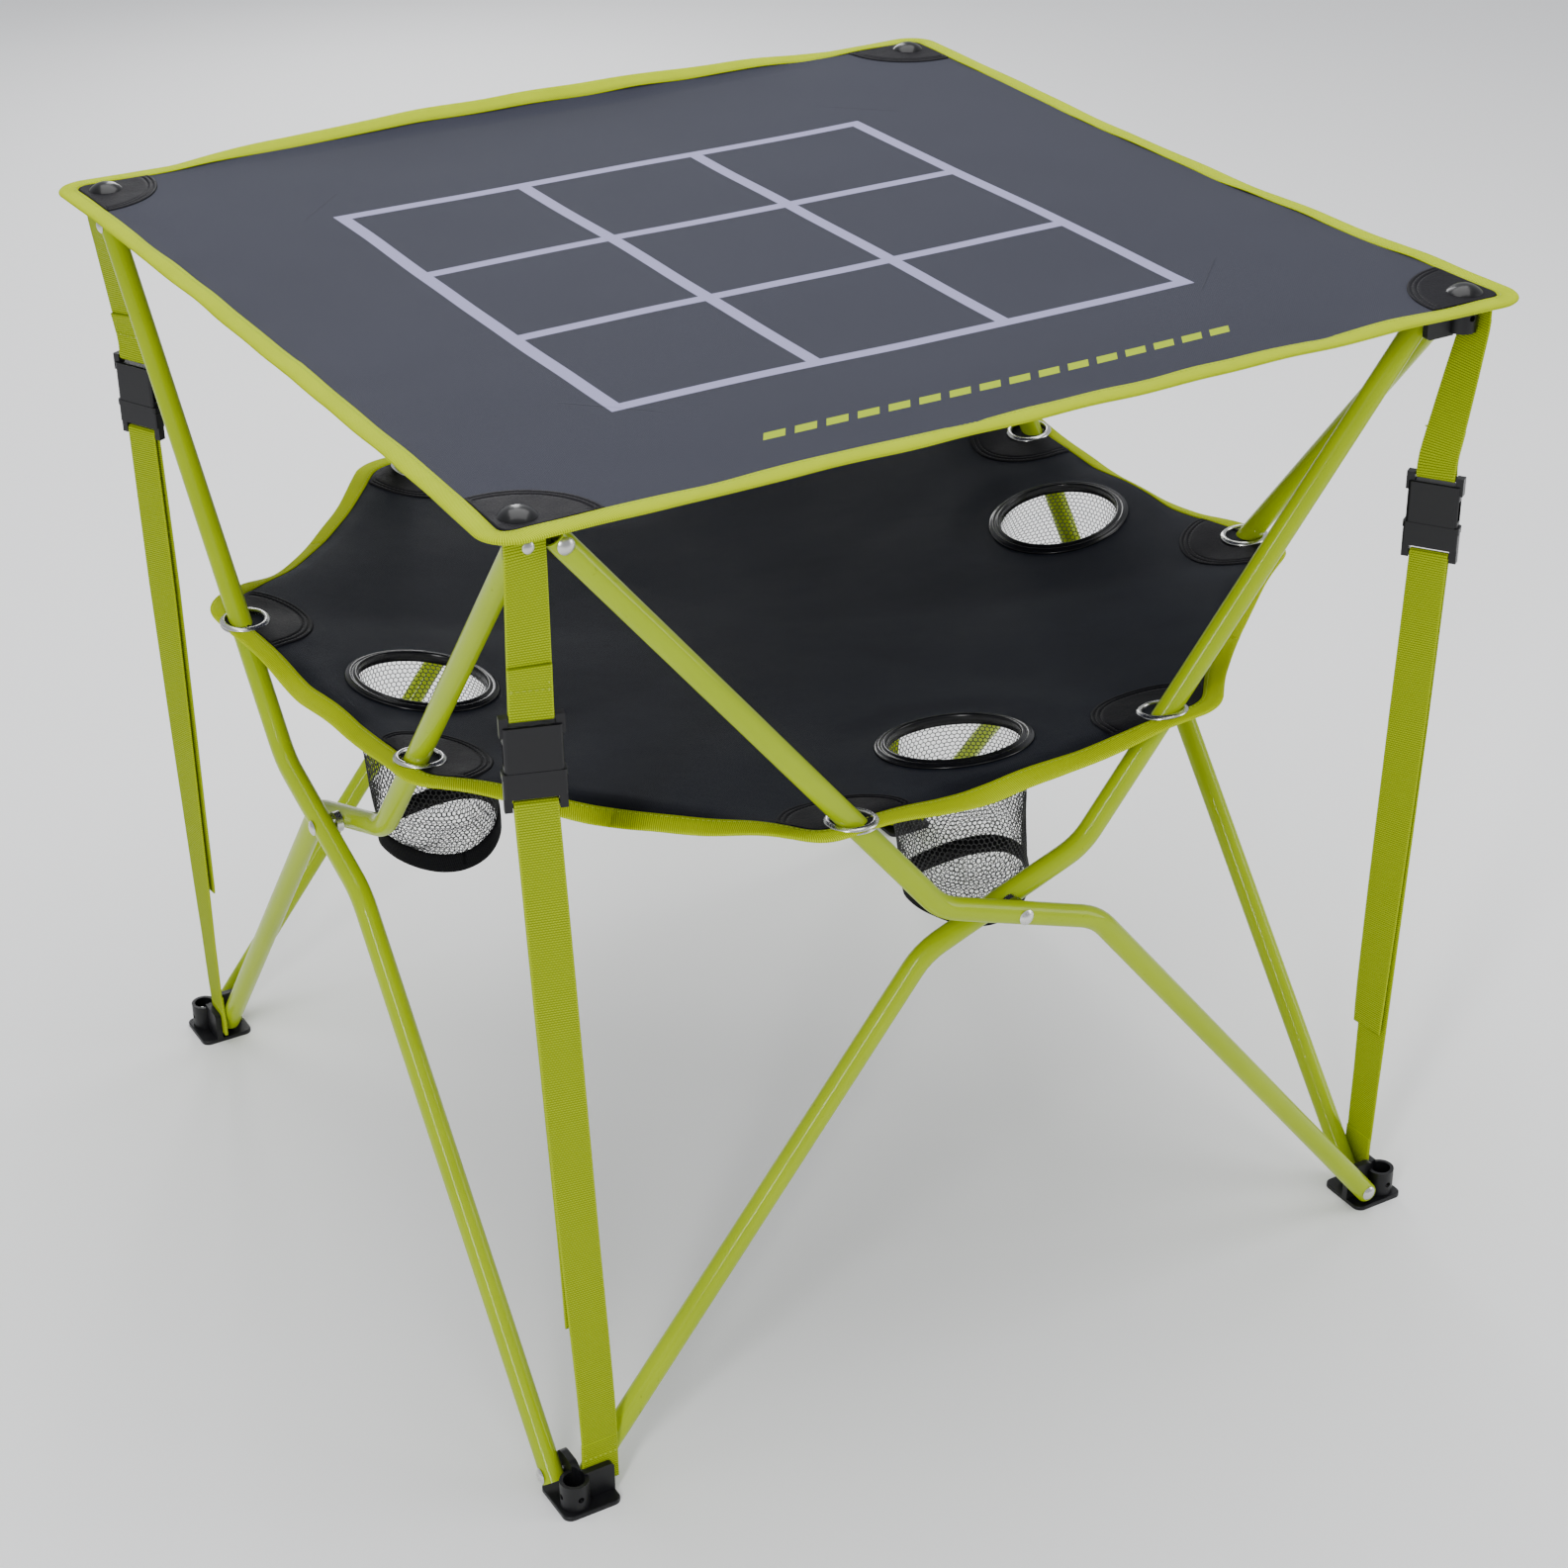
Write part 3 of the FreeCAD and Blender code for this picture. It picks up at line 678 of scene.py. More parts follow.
def stitch_tree():
    tree, entry, leave = new_tree("stitches", Pitch=0.0034, Length=0.0023, Width=0.0007)
    line = chain(tree, "GeometryNodeMeshToCurve", {"Mesh": entry.outputs["Geometry"]})
    spots = chain(tree, "GeometryNodeResampleCurve", {
        "Curve": line.outputs[0], "Length": entry.outputs["Pitch"]}, mode="LENGTH")
    tangent = tree.nodes.new("GeometryNodeInputTangent")
    aim = chain(tree, "FunctionNodeAlignRotationToVector", {"Vector": tangent.outputs[0]}, axis="X")
    bead = chain(tree, "GeometryNodeMeshUVSphere", {"Segments": 6, "Rings": 5, "Radius": 0.5})
    size = chain(tree, "ShaderNodeCombineXYZ", {
        "X": entry.outputs["Length"], "Y": entry.outputs["Width"], "Z": entry.outputs["Width"]})
    placed = chain(tree, "GeometryNodeInstanceOnPoints", {
        "Points": spots.outputs[0], "Instance": bead.outputs[0],
        "Rotation": aim.outputs[0], "Scale": size.outputs[0]})
    return close_tree(tree, entry, leave, placed.outputs[0])


def strand_tree():
    tree, entry, leave = new_tree("netting", Strand_Radius=0.00033)
    lines = chain(tree, "GeometryNodeMeshToCurve", {"Mesh": entry.outputs["Geometry"]})
    section = chain(tree, "GeometryNodeCurvePrimitiveCircle", {
        "Resolution": 4, "Radius": entry.outputs["Strand Radius"]})
    strands = chain(tree, "GeometryNodeCurveToMesh", {
        "Curve": lines.outputs[0], "Profile Curve": section.outputs[0], "Fill Caps": True})
    return close_tree(tree, entry, leave, strands.outputs[0])


STITCHES = stitch_tree()
STRANDS = strand_tree()


# %% Run a tree on a line drawing and keep a plain mesh
def grow(title, tree, points, edges, material, **sizes):
    drawing = bpy.data.meshes.new(title)
    drawing.from_pydata([tuple(p) for p in points], edges, [])
    made = bpy.data.objects.new(title, drawing)
    bpy.context.scene.collection.objects.link(made)
    modifier = made.modifiers.new("grow", "NODES")
    modifier.node_group = tree
    wanted = {label.replace("_", " "): value for label, value in sizes.items()}
    wanted["Finish"] = material
    for item in tree.interface.items_tree:
        if item.in_out == "INPUT" and item.name in wanted:
            modifier[item.identifier] = wanted[item.name]
    bpy.context.view_layer.update()
    grown = made.evaluated_get(bpy.context.evaluated_depsgraph_get())
    solid = bpy.data.meshes.new_from_object(grown)
    made.modifiers.clear()
    made.data = solid
    solid.name = title
    solid.shade_smooth()
    return made


def sew(title, lines, material, **sizes):
    """Rows of stitches along lines of points."""
    points, edges = [], []
    for line in lines:
        start = len(points)
        points += line
        edges += [(i, i + 1) for i in range(start, len(points) - 1)]
    return grow(title, STITCHES, points, edges, material, **sizes)


print("node trees", STITCHES.name, STRANDS.name)

# %% [markdown]
# ## The shape of the top
# The top is pulled out by its four corners, so every edge hollows a little between them. The back
# edge is slack and curls up in the middle, and faint ripples run in from the bound edges. One
# height function describes the whole sheet, and every piece sewn to it reads the same function.

# %% Top outline and height
TOP_LOW, TOP_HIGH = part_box("top_panel")
TOP_MID = (TOP_LOW.z + TOP_HIGH.z) / 2
TOP_THICK = 1.4 * MM
TOP_HALF = TOP_HIGH.x
TOP_HOLLOW = 7.0 * MM
TOP_CORNER = 23.0 * MM
EDGE_IN = 12.3 * MM          # the binding's leg on the cloth
TOP_REACH = TOP_HALF - TOP_CORNER * (1 - math.sqrt(0.5))


def top_edge(s):
    """A point of the front edge, s from -1 to 1 between the corners' middles."""
    x = TOP_REACH * (1.5 * s - 0.5 * s ** 3)
    y = -(TOP_HALF - TOP_HOLLOW * (1 - (x / TOP_REACH) ** 2))
    into = abs(x) - (TOP_HALF - TOP_CORNER)
    if into > 0:
        y += TOP_CORNER - math.sqrt(max(TOP_CORNER ** 2 - into ** 2, 0))
    return x, y


def smooth(value, low, high):
    t = min(max((value - low) / (high - low), 0), 1)
    return t * t * (3 - 2 * t)


def edge_turn(inset):
    """How far an edge leaves its sheet for a unit slope: a bend, then straight under the tape."""
    u = inset / MM
    if u > 26:
        return 0.0
    return ((26 - u) ** 2 / 26 if u > 13 else 19.5 - u) * MM


def top_height(x, y):
    rim = max(abs(x), abs(y)) / TOP_HALF
    corner = smooth(min(abs(x), abs(y)), 0.24, 0.31)
    ripple = noise.noise(Vector((x * 17, y * 17, 3.1))) * 1.5 * MM * smooth(rim, 0.80, 1.0)
    slack = noise.noise(Vector((x * 5, y * 5, 7.7))) * 1.4 * MM
    slack_edge = TOP_HALF - TOP_HOLLOW * (1 - (x / TOP_REACH) ** 2)
    curl = 0.62 * edge_turn(slack_edge - y) * max(1 - (x / 0.27) ** 2, 0)
    dip = -2.5 * MM * smooth(-y, 0.26, 0.35) * max(1 - (x / 0.28) ** 2, 0)
    dip -= 2.0 * MM * smooth(abs(x), 0.26, 0.35) * max(1 - (y / 0.28) ** 2, 0)
    return TOP_MID + (1 - corner) * (ripple + slack + curl + dip)


print("top half width", round(TOP_HALF, 4), "cloth level", round(TOP_MID, 4))

# %% [markdown]
# The cloth is cut along its diagonals into four pieces that meet without a visible seam, because
# each side of the frame carries its own quarter of the sheet inwards when the table folds.

# %% Top cloth in four quarters
EDGE_STEPS = 120
DIAGONAL_STEPS = 44


def quarter_outline(edge):
    """The front quarter's outline: its outer edge, then in along one diagonal and out the other."""
    reach = edge[-1][0]
    steps = [reach * (1 - i / DIAGONAL_STEPS) for i in range(1, DIAGONAL_STEPS)]
    return edge + [(t, -t) for t in steps] + [(0.0, 0.0)] + [(-t, -t) for t in reversed(steps)]


front_edge = [top_edge(-1 + 2 * i / EDGE_STEPS) for i in range(EDGE_STEPS + 1)]
top_flat, top_faces = fill(quarter_outline(front_edge), inset_rows(front_edge))
top_cloth = []
for k, side in enumerate(SIDES):
    made = cloth("top_cloth_" + side, top_flat, top_faces, k, top_height, TOP_THICK, PRINTED)
    top_cloth.append(made)
print("top quarters", [len(o.data.polygons) for o in top_cloth])

# %% [markdown]
# ## Binding
# Lime grosgrain is folded over every raw edge and sewn through. Its profile is a flat U with a
# soft fold. Along the edge each station stands on the cloth's own surface, so the tape follows
# every ripple.

# %% Bound edges and their stitching
def binding_profile(thick):
    half, fold = thick / 2 / MM + 0.1, 1.15
    rises = ((-EDGE_IN / MM, 0), (-12.1, 0.75), (-7.0, 0.95), (-2.5, 0.95), (0.1, 0.65))
    upper = [(a, half + rise) for a, rise in rises]
    nose = [(fold * 0.85, half * 0.75), (fold, 0.0), (fold * 0.85, -half * 0.75)]
    lower = [(a, -b) for a, b in reversed(upper)]
    skin = [(-0.5, -half), (-0.5, half)]
    ring = upper + nose + lower + skin
    return [(a * MM, b * MM, math.copysign(fold - a, b) * MM if b else 0.0) for a, b in ring]


def edge_stations(edge, k, height, flutter=0.0):
    """Stations along an edge of the front quarter, turned k times, standing on the surface."""
    stations, run, last = [], 0.0, None
    for i, (x, y) in enumerate(edge):
        before, after = edge[max(i - 1, 0)], edge[min(i + 1, len(edge) - 1)]
        along = Vector((after[0] - before[0], after[1] - before[1], 0)).normalized()
        if i in (0, len(edge) - 1):
            along = Vector((1, -1 if i == 0 else 1, 0)).normalized()
        away = Vector((along.y, -along.x, 0))
        at = lifted(x, y, k, height)
        inner = lifted(x - away.x * EDGE_IN, y - away.y * EDGE_IN, k, height)
        out = (at - inner).normalized()
        up = out.cross(turn(along, k)) * -1
        up = up if up.z > 0 else -up
        wave = flutter * noise.noise(Vector((at.x * 22, at.y * 22, 1.7)))
        out = (out + up.normalized() * wave).normalized()
        up = (up - out * up.dot(out)).normalized()
        run += (at - last).length if last else 0.0
        last = at
        stations.append((at, out, up, run))
    return stations


def bound(title, edge, k, height, thick, flutter=0.0, lap=None):
    """A length of binding and its stitches, above and below. lap is where two ends overlap."""
    stations = edge_stations(edge, k, height, flutter)
    if lap is not None:
        at_lap = lap * stations[-1][3]
        stations = [(o, a, u * (1.22 if abs(v - at_lap) < 5 * MM else 1.0), v)
                    for o, a, u, v in stations]
    points, faces, uv = band(stations, binding_profile(thick))
    made = outward(piece(title, points, faces, TAPE, uv))
    row = -EDGE_IN + 2.2 * MM
    rise = thick / 2 + 1.02 * MM
    lines = [[o + a * row + u * (rise * sign) for o, a, u, _ in stations] for sign in (1, -1)]
    stitches = sew(title + "_stitches", lines, LIME_YARN)
    return made, stitches


LAP_AT = 0.575           # share of the left edge where the tape's two ends overlap
TAPE_FLUTTER = 0.12
top_bindings = []
for k, side in enumerate(SIDES):
    lap = LAP_AT if side == "left" else None
    top_bindings.append(
        bound("top_binding_" + side, front_edge, k, top_height, TOP_THICK, TAPE_FLUTTER, lap))
print("binding faces", [len(tape_piece.data.polygons) for tape_piece, _ in top_bindings])

# %% [markdown]
# ## Corner patches of the top
# Each corner is faced with a vinyl patch that the dome bolt clamps to the hub. Its inner edge is
# an arc with two rows of stitching. The patch is a fan of rings about the bolt, slightly raised
# between the stitches and its edge, as padded vinyl is.

# %% Star-shaped patches
# (distance in from the patch's edge, height of its face) in millimetres: a welt between two seams
WELT = [(0, 0.25), (0.5, 0.85), (1.6, 1.0), (2.5, 0.85), (3.1, 0.12), (3.7, 0.85), (4.8, 1.15),
        (5.9, 0.85), (6.5, 0.12), (7.1, 0.80), (8.4, 1.0), (11.0, 1.0)]
SEAMS = (3.1 * MM, 6.5 * MM)          # the welt's two rows of stitches
FLAT_RINGS = 5                        # rings between the hole and the welt
SPOKES = 144
SPOKE_ANGLES = [2 * math.pi * j / SPOKES for j in range(SPOKES)]


def patch(title, centre, reaches, hole, k, height, base, arc):
    """A patch round a hole, with its reach along each spoke. Only its arc is grooved."""
    points, faces = [], []
    rings = FLAT_RINGS + len(WELT)
    middle, radius = arc
    for layer in (1, 0):
        for i in range(rings + 1):
            for a, reach in zip(SPOKE_ANGLES, reaches):
                room = min(1.0, (reach - hole) / (13 * MM))
                inset, rise = WELT[rings - i] if i > FLAT_RINGS else (WELT[-1][0], 1.0)
                r = reach - inset * MM * room
                r = r if i > FLAT_RINGS else hole + (r - hole) * i / (FLAT_RINGS + 1)
                from_arc = (Vector(on_circle(centre, reach, a)) - Vector(middle)).length
                on_arc = smooth(from_arc, radius - 1.6 * MM, radius - 0.3 * MM)
                rise = rise if inset < 0.5 else 1.0 + (rise - 1.0) * on_arc
                spot = lifted(*on_circle(centre, r, a), k, height)
                up = surface_normal(height, spot.x, spot.y)
                points.append(spot + up * (base + layer * rise * MM))
    size, last = (rings + 1) * SPOKES, rings * SPOKES
    for i in range(rings):
        for j in range(SPOKES):
            a, b = i * SPOKES + j, i * SPOKES + (j + 1) % SPOKES
            faces.append((a, a + SPOKES, b + SPOKES, b))
            faces.append((b + size, b + SPOKES + size, a + SPOKES + size, a + size))
    for j in range(SPOKES):
        n = (j + 1) % SPOKES
        faces.append((n, n + size, j + size, j))
        faces.append((last + j, last + j + size, last + n + size, last + n))
    return outward(piece(title, points, faces, VINYL))


def arc_lines(middle, radii, inside, k, height, rise):
    """Rows of points on arcs about middle, kept where they lie inside the patch."""
    lines = []
    for radius in radii:
        line = []
        for j in range(361):
            x, y = on_circle(middle, radius, math.radians(j))
            if inside(x, y):
                spot = lifted(x, y, k, height)
                line.append(spot + surface_normal(height, spot.x, spot.y) * rise)
        lines.append(line)
    return lines


def sewn_patch(name, place, centre, reaches, hole, k, height, thick, arc, inside):
    """A patch and its two rows of stitches."""
    middle, radius = arc
    made = patch(f"{name}_{place}", centre, reaches, hole, k, height, thick / 2 + 0.05 * MM, arc)
    radii = [radius - seam for seam in SEAMS]
    rows = arc_lines(middle, radii, inside, k, height, thick / 2 + 0.25 * MM)
    return made, sew(
        f"{name}_stitches_{place}", rows, BLACK_YARN, Pitch=0.0030, Length=0.0024, Width=0.0008)


BOLT_AT = (-0.324, -0.324)
ARC_AT = (-0.333, -0.341)
ARC_R = 54.0 * MM


def full_ring(edge):
    """The whole outline, from the front's edge turned four times."""
    return np.array([tuple(turn((x, y, 0), k).xy) for k in range(4) for x, y in edge[:-1]])


TOP_RING = full_ring(front_edge)


def clear_of_edge(x, y, ring, inset):
    """True if the point is inside the ring by at least the inset."""
    step = np.roll(ring, -1, 0) - ring
    reach = np.array((x, y)) - ring
    along = np.clip((reach * step).sum(1) / np.maximum((step ** 2).sum(1), 1e-12), 0, 1)
    near = np.min(np.hypot(*(reach - step * along[:, None]).T))
    return near > inset and in_ring(x, y, ring)


def reach_within(centre, test, most):
    """For each spoke, how far one can go from centre with test still true."""
    reaches = []
    for a in SPOKE_ANGLES:
        low, high = 0.0, most
        for _ in range(14):
            mid = (low + high) / 2
            good = test(*on_circle(centre, mid, a))
            low, high = (mid, high) if good else (low, mid)
        reaches.append(low)
    return reaches


def within(middle, radius, ring):
    """A test for points inside an arc and clear of the binding."""
    def test(x, y):
        near = math.hypot(x - middle[0], y - middle[1]) < radius
        return near and clear_of_edge(x, y, ring, EDGE_IN + 0.2 * MM)
    return test


on_corner = within(ARC_AT, ARC_R, TOP_RING)
corner_reaches = reach_within(BOLT_AT, on_corner, 0.09)
corner_patches = [
    sewn_patch("corner_patch", corner, BOLT_AT, corner_reaches, 3.4 * MM, k, top_height, TOP_THICK,
               (ARC_AT, ARC_R), on_corner)
    for k, corner in enumerate(CORNERS)]
print("corner patches", len(corner_patches))

# %% [markdown]
# ## The shelf
# The shelf is an octagon of coated cloth, threaded on the eight tubes just above their crossings.
# It hangs slack: it dishes towards the middle, its edges dip between the grommets, and round each
# cup holder the stiff ring keeps it flat.

# %% Shelf outline
SHELF_Z = sum(v.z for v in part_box("shelf_panel")) / 2
SHELF_THICK = 1.2 * MM
SHELF_DISH = 41.5 * MM
EDGE_DIP = 8.0 * MM
OUTER_END = Vector((-0.152, -0.345))      # the octagon's corner by an outer tube
INNER_END = Vector((0.152, -0.327))       # the octagon's corner by an inner tube
NEXT_OUTER = Vector((0.345, -0.152))
LAST_INNER = Vector((-0.327, -0.152))
ROUND = 22 * MM
cut_before = LAST_INNER.x - LAST_INNER.y
cut_share = cut_before / (cut_before + OUTER_END.y - OUTER_END.x)
CUT_HOLLOW = 13 * MM
FRONT_HOLLOW = 6 * MM


def line_part(a, b, inward, depth, start, end, steps):
    """(point, dip) pairs along part of an edge that hollows inwards between its corners."""
    pairs = []
    for i in range(steps + 1):
        s = start + (end - start) * i / steps
        at = a.lerp(b, s) + inward * (depth * 4 * s * (1 - s))
        pairs.append((at, math.sin(math.pi * s) ** 2))
    return pairs


def soft_corner(before, corner, after, steps=10):
    """A smooth bend from one edge's last point to the next edge's first one."""
    spots = []
    for i in range(1, steps):
        t = i / steps
        at = before * (1 - t) ** 2 + corner * (2 * t * (1 - t)) + after * t ** 2
        spots.append((at, 0.03))
    return spots


def shelf_front():
    """The front quarter's outer edge as (point, dip) pairs, from one diagonal to the other."""
    left_in, right_in = Vector((0.7071, 0.7071)), Vector((-0.7071, 0.7071))
    cut_len, front_len = (OUTER_END - LAST_INNER).length, (INNER_END - OUTER_END).length
    cut_round, front_round = ROUND / cut_len, ROUND / front_len
    left = line_part(LAST_INNER, OUTER_END, left_in, CUT_HOLLOW, cut_share, 1 - cut_round, 24)
    front = line_part(
        OUTER_END, INNER_END, Vector((0, 1)), FRONT_HOLLOW, front_round, 1 - front_round, 48)
    right = line_part(INNER_END, NEXT_OUTER, right_in, CUT_HOLLOW, cut_round, cut_share, 24)
    bend_a = soft_corner(left[-1][0], OUTER_END, front[0][0])
    bend_b = soft_corner(front[-1][0], INNER_END, right[0][0])
    return left + bend_a + front + bend_b + right


shelf_line = shelf_front()
diagonal_end = (abs(shelf_line[0][0].x) + abs(shelf_line[0][0].y)) / 2
shelf_edge = [tuple(at) for at, _ in shelf_line]
shelf_edge[0], shelf_edge[-1] = (-diagonal_end, -diagonal_end), (diagonal_end, -diagonal_end)
SHELF_RING = full_ring(shelf_edge)
ring_angle = np.arctan2(SHELF_RING[:, 1], SHELF_RING[:, 0])
ring_order = np.argsort(ring_angle)
ring_angle = ring_angle[ring_order]
ring_reach = np.hypot(SHELF_RING[:, 0], SHELF_RING[:, 1])[ring_order]
ring_dip = np.array([dip for _ in range(4) for _, dip in shelf_line[:-1]])[ring_order]
print("shelf edge points", len(shelf_edge), "level", round(SHELF_Z, 4))

# %% Shelf height
cup_low, cup_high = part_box("cup_rim_front")
CUP_AT = (cup_low.y + cup_high.y) / 2
CUP_HOLE = (cup_high.x - cup_low.x) / 2 - 8.5 * MM
CUP_FLAT = 0.056         # how far the ring keeps the cloth flat, and where it hangs free again
CUP_FREE = 0.082


def dished(x, y):
    angle, reach = math.atan2(y, x), math.hypot(x, y)
    rim = float(np.interp(angle, ring_angle, ring_reach, period=2 * math.pi))
    dip = float(np.interp(angle, ring_angle, ring_dip, period=2 * math.pi))
    share = min(reach / rim, 1.05)
    flutter = noise.noise(Vector((x * 20, y * 20, 5.0))) * 3.2 * MM * dip
    slack = noise.noise(Vector((x * 8, y * 8, 2.0))) * 2.5 * MM * (1 - share ** 4)
    wander = noise.noise(Vector((math.cos(angle) * 6, math.sin(angle) * 6, 9.0)))
    roll = (0.16 + 0.30 * dip + 0.22 * wander) * edge_turn(rim - reach)
    edge = (flutter - EDGE_DIP * dip) * share ** 6
    return SHELF_Z - SHELF_DISH * (1 - share ** 2) + edge + slack - roll


cup_level = dished(0, CUP_AT)
CUP_SLOPE = 0.185


def shelf_height(x, y):
    level = dished(x, y)
    for k in range(4):
        middle = turn((0, CUP_AT, 0), k)
        away = math.hypot(x - middle.x, y - middle.y)
        if away < CUP_FREE:
            outward_step = (x * middle.x + y * middle.y) / abs(CUP_AT) - abs(CUP_AT)
            plane = cup_level + CUP_SLOPE * outward_step
            level += (plane - level) * (1 - smooth(away, CUP_FLAT, CUP_FREE))
    return level


# %% Shelf cloth, binding and the holes for the cups
shelf_flat, shelf_faces = fill(
    quarter_outline(shelf_edge), inset_rows(shelf_edge), (0.0, CUP_AT, CUP_HOLE + 1.0 * MM))
shelf_cloth, shelf_bindings = [], []
for k, side in enumerate(SIDES):
    shelf_cloth.append(
        cloth("shelf_cloth_" + side, shelf_flat, shelf_faces, k, shelf_height, SHELF_THICK, COATED))
    shelf_bindings.append(
        bound("shelf_binding_" + side, shelf_edge, k, shelf_height, SHELF_THICK))
print("shelf quarters", [len(o.data.polygons) for o in shelf_cloth], round(cup_level, 4))

# %% [markdown]
# ## Grommets and shelf patches
# A steel grommet lets each tube slide through the shelf, and a vinyl patch spreads its load. A
# ring of any section is a closed outline turned about an axis, so one helper serves grommets and
# cup rims.

# %% Turned rings
def turned_ring(title, outline, centre, axis, material, steps=96):
    """A closed outline of (radius, height) in millimetres, turned about an axis through centre."""
    tilt = Vector((0, 0, 1)).rotation_difference(axis).to_matrix()
    points, faces = [], []
    count = len(outline)
    for i in range(steps):
        a = 2 * math.pi * i / steps
        for r, h in outline:
            points.append(centre + tilt @ Vector((*on_circle((0, 0), r * MM, a), h * MM)))
    for i in range(steps):
        here, there = i * count, (i + 1) % steps * count
        for j in range(count):
            faces.append((here + j, there + j, there + (j + 1) % count, here + (j + 1) % count))
    return outward(piece(title, points, faces, material))


GROMMET = [
    (12.9, -3.0), (12.9, 1.0), (13.1, 2.2), (13.6, 2.8), (14.3, 2.9), (15.3, 2.5), (16.3, 1.8),
    (16.9, 1.1), (16.8, 0.75), (14.1, 0.75), (13.9, -0.75), (16.6, -0.8), (16.6, -1.3), (15.4, -1.9),
    (13.9, -2.8),
]
TUBE_CENTRE_U = 58.7 * MM     # where a tube's upper bend would have its corner
TUBE_CENTRE_Z = 361.5 * MM
TUBE_RUN = 244.3 / 303.5      # sideways run of the steep stretch for each unit of rise
PLANES = {"outer": (-1, -0.327), "inner": (1, -0.307)}


def thread_point(kind):
    """Where a tube goes through the shelf on the front side."""
    sign, y = PLANES[kind]
    z = SHELF_Z
    for _ in range(5):
        x = sign * (TUBE_CENTRE_U + (z - TUBE_CENTRE_Z) * TUBE_RUN)
        z = shelf_height(x, y)
    return Vector((x, y, z))


PATCH_R = 45 * MM
PATCH_HOLE = 14 * MM
grommets, shelf_patches = [], []
for kind in ("outer", "inner"):
    eye = thread_point(kind)
    on_patch = within(eye, PATCH_R, SHELF_RING)
    reaches = reach_within(eye, on_patch, PATCH_R + 1 * MM)
    for k, side in enumerate(SIDES):
        spot = lifted(eye.x, eye.y, k, shelf_height)
        lean = surface_normal(shelf_height, spot.x, spot.y, 0.006)
        grommet = turned_ring(f"grommet_{kind}_{side}", GROMMET, spot, lean, STEEL)
        grommets.append((grommet, f"tube_{kind}_{side}"))
        made, seams = sewn_patch("shelf_patch", f"{kind}_{side}", eye, reaches, PATCH_HOLE, k,
                                 shelf_height, SHELF_THICK, (eye.xy, PATCH_R), on_patch)
        shelf_patches.append((made, seams, k))
print("grommets", len(grommets), "shelf patches", len(shelf_patches))

# %% [markdown]
# ## Cup holders
# A polished ring with raised ridges is sewn round each hole, and a net bag hangs from it. The net
# is a honeycomb drawn on a slack tube, with a black ribbon round its lower edge and a drooping
# net bottom.

# %% Cup rims
RIM = [
    (42.5, -3.2), (42.5, 2.6), (42.9, 3.5), (43.8, 3.9), (44.8, 3.6), (45.4, 2.7), (46.2, 2.3),
    (47.0, 2.8), (47.9, 2.9), (48.6, 2.3), (49.2, 1.7), (50.1, 1.6), (50.8, 1.2), (51.0, 0.7),
    (50.9, 0.1), (44.0, 0.05), (43.7, -3.2),
]
rims = []
for k, side in enumerate(SIDES):
    middle = turn((0, CUP_AT, cup_level + SHELF_THICK / 2), k)
    axis = turn(Vector((0, CUP_SLOPE, 1)).normalized(), k)
    rims.append(turned_ring("cup_rim_visible_" + side, RIM, middle, axis, GLOSS, 144))
print("cup rims", len(rims))

# %% Net bags
NET_COLUMNS = 78
NET_WIDTH = 2 * math.pi * 43 * MM / NET_COLUMNS
NET_EDGE = NET_WIDTH / math.sqrt(3)
BAG_DEPTH = 100 * MM
BAG_TOP_R = 43.0 * MM
BAG_END_R = 40.5 * MM
BAG_LEAN = Vector((0.010, 0.0, 0.0))


def bag_point(angle, share, k):
    """A point of the front bag's wall, with share 0 at the rim and 1 at the ribbon."""
    rim = Vector((*on_circle((0, 0), BAG_TOP_R, angle), 0))
    rim.z = -CUP_SLOPE * rim.y
    end = Vector((*on_circle((0, 0), BAG_END_R, angle), -BAG_DEPTH)) + BAG_LEAN
    end.z += 5 * MM * math.cos(angle * 2 + k) + 4 * MM * math.cos(angle - 0.7 * k)
    at = rim.lerp(end, share)
    crumple = noise.noise(Vector((at.x * 30 + 9 * k, at.y * 30, at.z * 26)))
    fold = noise.noise(Vector((at.x * 75, at.y * 75 + 5 * k, at.z * 20)))
    free = math.sin(math.pi * min(share, 1.0)) ** 0.7
    grow_by = 1 + (0.09 * crumple + 0.035 * fold) * free
    return Vector((at.x * grow_by, at.y * grow_by + CUP_AT, at.z + cup_level - 2.5 * MM))


def honeycomb(columns, rows, place, keep):
    """Edges of a honeycomb; place maps (column, distance) to a point, keep says which to draw."""
    points, index, edges = [], {}, []

    def corner(i, j, upper):
        spot = (i % columns if columns else i, j, upper)
        if spot not in index:
            down = j * 1.5 * NET_EDGE + (NET_EDGE if upper else 0)
            at = place(i + (0.5 if j % 2 else 0.0), down)
            index[spot] = len(points) if at is not None else None
            if at is not None:
                points.append(at)
        return index[spot]

    for j in range(rows):
        for i in keep:
            side = i + 1 if j % 2 else i - 1
            low, high = (i, j, 0), (i, j, 1)
            for a, b in ((low, high), (high, (i, j + 1, 0)), (high, (side, j + 1, 0))):
                if j == rows - 1 and b[1] > j:
                    continue
                p, q = corner(*a), corner(*b)
                if p is not None and q is not None:
                    edges.append((p, q))
    return points, edges


def wall_net(k):
    rows = int((BAG_DEPTH - 2 * MM) / (1.5 * NET_EDGE))

    def place(i, down):
        return bag_point(2 * math.pi * i / NET_COLUMNS, down / BAG_DEPTH, k)

    return honeycomb(NET_COLUMNS, rows, place, range(NET_COLUMNS))


